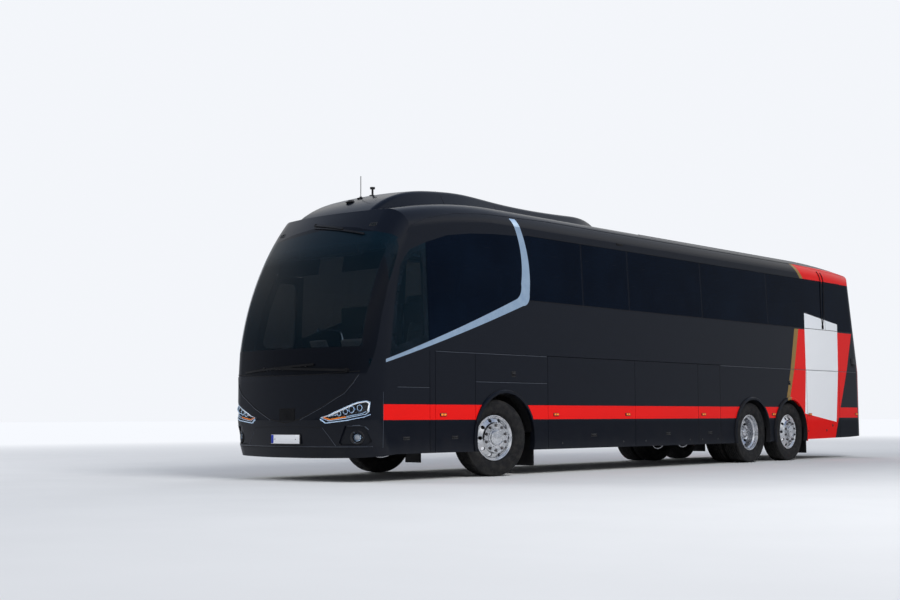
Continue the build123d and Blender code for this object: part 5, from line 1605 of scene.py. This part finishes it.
class COACH_OT_cabin(bpy.types.Operator):
    """Make the cabin fittings: luggage racks, grab rails, driver's desk, display, blinds and screens"""

    bl_idname = "coach.cabin"
    bl_label = "Cabin fittings"

    def execute(self, context):
        with Piece("luggage_racks", ["trim", "plastic", "white_lens"], smooth=30.0) as bm:
            for side in (LEFT, RIGHT):
                for number in range(RACKS):
                    y = station(RACK_START + RACK_PITCH * number + RACK_LONG / 2)
                    shelf = tilt(side * 8.0, "Y")
                    block(bm, (side * 0.960, y, 3.180), (0.420, RACK_LONG, 0.030), 0.012, shelf)
                    block(bm, (side * 0.752, y, 3.250), (0.030, RACK_LONG, 0.120), 0.012)
                    block(bm, (side * 0.880, y, 3.150), (0.180, 1.300, 0.036), 0.012, index=1)
                    for shift in (-0.40, 0.40):
                        turned(bm, READING_LAMP, upright((side * 0.860, y + shift, 3.130), -1.0), 20, 2)
        with Piece("grab_rails", ["sky_tinted_chrome"], smooth=40.0) as bm:
            for points in GRAB_RAILS:
                places = [Vector((x, station(distance), z)) for x, distance, z in points]
                tube(bm, places, 0.017, 0, 12, False, True)
                turned(bm, RAIL_FOOT, upright(places[0]), 20)
                turned(bm, RAIL_FOOT, aimed(places[-1], X_AXIS, Y_AXIS), 20)
        with Piece("driver_desk", ["dash", "plastic", "sky_tinted_chrome", "screen"], smooth=30.0) as bm:
            lean = tilt(28.0)
            block(bm, (DESK_X, station(0.735), 1.700), (0.520, 0.050, 0.180), 0.020, lean, 0, 3)
            block(bm, (DESK_X, station(0.765), 1.705), (0.440, 0.012, 0.120), 0.006, lean, 1, 1)
            for across in (-0.12, 0.12):
                turned(bm, DIAL, aimed((DESK_X + across, station(0.773), 1.708), (0.0, 0.86, 0.50)), 32, 2)
            for row in range(3):
                y, z = station(0.793 - row * 0.004), 1.500 - row * 0.045
                for column in range(6):
                    block(bm, (0.20 - 0.045 * column, y, z), (0.034, 0.012, 0.030), 0.003, None, 1, 1)
            block(bm, (SCREEN_X, station(0.700), 1.700), (0.300, 0.030, 0.190), 0.010, lean)
            block(bm, (SCREEN_X, station(0.718), 1.703), (0.270, 0.012, 0.160), 0.004, lean, 3, 1)
        with Piece("destination_display", ["plastic", "screen", "rubber"], smooth=30.0) as bm:
            block(bm, (DISPLAY_X, station(0.730), DISPLAY_Z), (1.130, 0.090, 0.210), 0.014)
            block(bm, (DISPLAY_X, station(0.688), DISPLAY_Z), (1.060, 0.010, 0.150), 0.003, None, 1, 1)
            for across in (0.62, -0.62):
                block(bm, (across, station(0.80), 2.78), (0.80, 0.012, 0.240), 0.005, tilt(-12.0), 2, 1)
            tube(bm, [(-1.04, station(0.80), 2.905), (1.04, station(0.80), 2.905)], 0.012)
        with Piece("cabin_screens", ["plastic"], smooth=30.0) as bm:
            block(bm, (0.0, station(2.10), 1.795), (0.10, 0.040, 1.10), 0.016)
            for across, wide in ((0.62, 1.10), (-0.70, 0.90)):
                block(bm, (across, station(2.12), 1.920), (wide, 0.035, 0.86), 0.014)
        return {"FINISHED"}


# Arch liners: half angle, distances of the outer and inner edges and share of the radius left open inside
LINER_ANGLE = math.radians(82.0)
LINER_OUTER = 1.262
FRONT_LINER = (1.150, 0.985)
REAR_LINER = (0.560, 0.70)
# Station and height where the shaft starts, and height of the tanks and the silencer
SHAFT_START = (9.78, 0.540)
TANK_Z = 0.520
# Shaft, tanks and silencer under the floor; a tank is given by its distance across, start and length
SHAFT = [
    (0.0, 0.0), (0.0, 0.075), (0.03, 0.075), (0.04, 0.048), (2.05, 0.048), (2.06, 0.075), (2.09, 0.075),
    (2.09, 0.0),
]
TANKS = [(-0.18, 1.40, 0.95), (0.18, 1.40, 0.95), (0.62, 11.45, 0.90)]
TANK_END = [(0.0, 0.0), (0.004, 0.060), (0.022, 0.100), (0.05, 0.112)]
SILENCER = [(0.0, 0.0), (0.0, 0.12), (0.02, 0.14), (0.86, 0.14), (0.88, 0.12), (0.88, 0.0)]
TAIL_PIPE = [(-0.66, 13.12, 0.50), (-0.66, 13.30, 0.47), (-0.80, 13.42, 0.44), (-0.92, 13.50, 0.42)]


def liner(bm, side, distance, height, radius, inner, open_share):
    """Curved inner guard over a wheel, open below and closed towards the middle."""
    part = bmesh.new()
    starts = [part.verts.new((across, 0.0, radius)) for across in (inner, LINER_OUTER)]
    edge = part.edges.new(starts)
    bmesh.ops.rotate(part, verts=starts, cent=ORIGIN, matrix=Matrix.Rotation(LINER_ANGLE, 3, "X"))
    arc = -2 * LINER_ANGLE
    bmesh.ops.spin(part, geom=[*starts, edge], axis=X_AXIS, cent=ORIGIN, angle=arc, steps=20, use_merge=False)
    rim = [edge for edge in part.edges if all(abs(vert.co.x - inner) < 1e-4 for vert in edge.verts)]
    grown = bmesh.ops.extrude_edge_only(part, edges=rim)
    for vert in (item for item in grown["geom"] if isinstance(item, bmesh.types.BMVert)):
        vert.co = Vector((inner, vert.co.y * open_share, max(-0.10, vert.co.z * open_share)))
    bmesh.ops.recalc_face_normals(part, faces=part.faces)
    bmesh.ops.solidify(part, geom=part.faces, thickness=0.003)
    place = Matrix.Translation((0.0, station(distance), height))
    join(bm, part, 0, place @ HALF_TURN if side == RIGHT else place)


class COACH_OT_underbody(bpy.types.Operator):
    """Make the parts under the floor: arch liners, shaft, tanks and exhaust"""

    bl_idname = "coach.underbody"
    bl_label = "Underbody"

    def execute(self, context):
        with Piece("arch_liners", ["rubber"], "rubber", smooth=40.0) as bm:
            for (distance, height, radius), form in zip(ARCH_LIPS, (FRONT_LINER, REAR_LINER, REAR_LINER)):
                for side in (LEFT, RIGHT):
                    liner(bm, side, distance, height, radius - 0.052, *form)
        with Piece("tanks_and_shaft", ["steel"], "chassis_steel", smooth=30.0) as bm:
            foot = (0.0, station(SHAFT_START[0]), SHAFT_START[1])
            turned(bm, SHAFT, aimed(foot, (0.0, 1.0, 0.12)), 24)
            for across, start, length in TANKS:
                profile = TANK_END + [(length - along, radius) for along, radius in reversed(TANK_END)]
                turned(bm, profile, aimed((across, station(start), TANK_Z), Y_AXIS), 28)
        with Piece("exhaust", ["nut"], "chassis_steel", smooth=30.0) as bm:
            turned(bm, SILENCER, aimed((TAIL_PIPE[0][0], station(12.25), TANK_Z), Y_AXIS))
            tube(bm, [(x, station(distance), z) for x, distance, z in TAIL_PIPE], 0.045, 0, 16, False, True)
        return {"FINISHED"}


# Colours of the surroundings from the horizon upwards, and what the camera sees behind the coach
SKY = [
    (0.00, (0.42, 0.44, 0.48)), (0.24, (0.42, 0.45, 0.50)), (0.44, (1.0, 1.0, 1.0)),
    (0.64, (0.55, 0.62, 0.75)), (0.88, (0.16, 0.22, 0.36)),
]
BACKDROP = (0.90, 0.92, 0.96)
HORIZON = (0.88, 0.90, 0.94)
# Lamps: name, place, aim, size and power
LAMPS = [
    ("key", (14.0, -7.0, 14.0), (0.0, 0.0, 1.5), 9.0, 3000.0),
    ("fill", (-12.0, -13.0, 10.0), (0.0, -3.0, 1.5), 7.0, 1000.0),
    ("rim", (-9.0, 14.0, 12.0), (0.0, 2.0, 2.5), 7.0, 900.0),
]


def stage_floor(scene):
    """Wide pale floor that fades into the backdrop far from the coach."""
    bm = bmesh.new()
    bmesh.ops.create_grid(bm, x_segments=8, y_segments=8, size=300.0)
    mesh = mesh_of(bm, "floor")
    floor = bpy.data.objects.new("floor", mesh)
    scene.collection.objects.link(floor)
    finish = Finish("stage_floor", (0.62, 0.62, 0.61), roughness=0.9, emission_strength=1.0)
    x, y, _ = finish.split(finish.object)
    far = finish.fade(finish.math("SQRT", x * x + y * y * 0.45), 6.0, 26.0)
    near = finish.mix(finish.noise(0.9, 4.0), (0.60, 0.60, 0.595), (0.66, 0.66, 0.655))
    finish.drive("Base Color", finish.mix(far, near, (0.0, 0.0, 0.0)))
    seen = finish.signal("LightPath", "Is Camera Ray")
    finish.drive("Emission Color", finish.mix(far * seen, (0.0, 0.0, 0.0), HORIZON))
    mesh.materials.append(finish.material)


def surroundings(scene, fill):
    """Even light with a sky in its reflections and a plain backdrop for the camera."""
    world = bpy.data.worlds.new("surroundings")
    world.use_nodes = True
    scene.world = world
    net = Net(world.node_tree)
    back = net.tree.nodes["Background"].inputs
    camera, glossy, through = (
        net.signal("LightPath", f"Is {kind} Ray") for kind in ("Camera", "Glossy", "Transmission")
    )
    bright = net.math("MAXIMUM", net.math("MAXIMUM", camera, glossy), through)
    net.feed(net.fade(bright, 0.0, 1.0, fill, 1.0), back["Strength"])
    height = net.split(net.signal("TexCoord", "Generated"))[2]
    sky = net.signal("ValToRGB", 0, {"stops": SKY}, {0: height})
    net.feed(net.mix(camera, sky, BACKDROP), back["Color"])


def lamp(scene, name, place, aim, size, power):
    """Square lamp that lights the coach but isn't mirrored in it."""
    light = bpy.data.lights.new(name, "AREA")
    light.size = size
    light.energy = power
    holder = bpy.data.objects.new(name, light)
    scene.collection.objects.link(holder)
    holder.visible_glossy = False
    turn = (Vector(aim) - Vector(place)).to_track_quat("-Z", "Y")
    holder.matrix_world = Matrix.LocRotScale(Vector(place), turn, None)


def place_camera(scene, settings):
    """Camera whose turn, tilt and roll were solved from the photograph."""
    yaw, pitch, roll = (math.radians(angle) for angle in (settings.yaw, settings.pitch, settings.roll))
    ahead = Vector((-math.sin(yaw) * math.cos(pitch), math.cos(yaw) * math.cos(pitch), math.sin(pitch)))
    right = Vector((math.cos(yaw), math.sin(yaw), 0.0))
    up = right.cross(ahead)
    across = right * math.cos(roll) + up * math.sin(roll)
    high = up * math.cos(roll) - right * math.sin(roll)
    data = bpy.data.cameras.new("camera")
    data.lens = settings.lens
    data.sensor_width = 36.0
    data.clip_end = 900.0
    camera = bpy.data.objects.new("camera", data)
    scene.collection.objects.link(camera)
    turn = Matrix((across, high, -ahead)).transposed().to_4x4()
    camera.matrix_world = Matrix.Translation(settings.place) @ turn
    scene.camera = camera


class COACH_OT_stage(bpy.types.Operator):
    """Set the floor, the lights, the surroundings and the camera"""

    bl_idname = "coach.stage"
    bl_label = "Stage"

    def execute(self, context):
        scene = context.scene
        settings = scene.coach_stage
        scene.view_settings.view_transform = "Standard"
        stage_floor(scene)
        surroundings(scene, settings.fill)
        for name, place, aim, size, power in LAMPS:
            lamp(scene, name, place, aim, size, power * settings.lamps)
        place_camera(scene, settings)
        return {"FINISHED"}


class COACH_PT_panel(bpy.types.Panel):
    """Panel in the sidebar with every step and setting"""

    bl_idname = "COACH_PT_panel"
    bl_label = "Coach"
    bl_space_type = "VIEW_3D"
    bl_region_type = "UI"
    bl_category = "Coach"

    def draw(self, context):
        layout = self.layout
        for name in GROUPS:
            group = getattr(context.scene, name)
            box = layout.box()
            for key in group.__annotations__:
                box.prop(group, key)
        for step in STEPS:
            layout.operator(step.bl_idname)


GROUPS = {
    "coach_paint": CoachPaint,
    "coach_wheels": CoachWheels,
    "coach_seats": CoachSeats,
    "coach_stage": CoachStage,
}
STEPS = [
    COACH_OT_node_finishes,
    COACH_OT_tyres,
    COACH_OT_wheel_hubs,
    COACH_OT_head_lamps,
    COACH_OT_nose,
    COACH_OT_sides,
    COACH_OT_tail,
    COACH_OT_roof,
    COACH_OT_seats,
    COACH_OT_cabin,
    COACH_OT_underbody,
    COACH_OT_stage,
]


def register():
    """Register the settings, steps and panel."""
    for kind in [*GROUPS.values(), *STEPS, COACH_PT_panel]:
        bpy.utils.register_class(kind)
    for name, kind in GROUPS.items():
        setattr(bpy.types.Scene, name, PointerProperty(type=kind))


def unregister():
    """Take the settings, steps and panel away again."""
    for name in GROUPS:
        delattr(bpy.types.Scene, name)
    for kind in reversed([*GROUPS.values(), *STEPS, COACH_PT_panel]):
        bpy.utils.unregister_class(kind)


def main():
    """Register the steps and run each of them to dress the coach."""
    register()
    for step in STEPS:
        getattr(bpy.ops.coach, step.bl_idname.split(".")[1])()


if __name__ == "__main__":
    main()
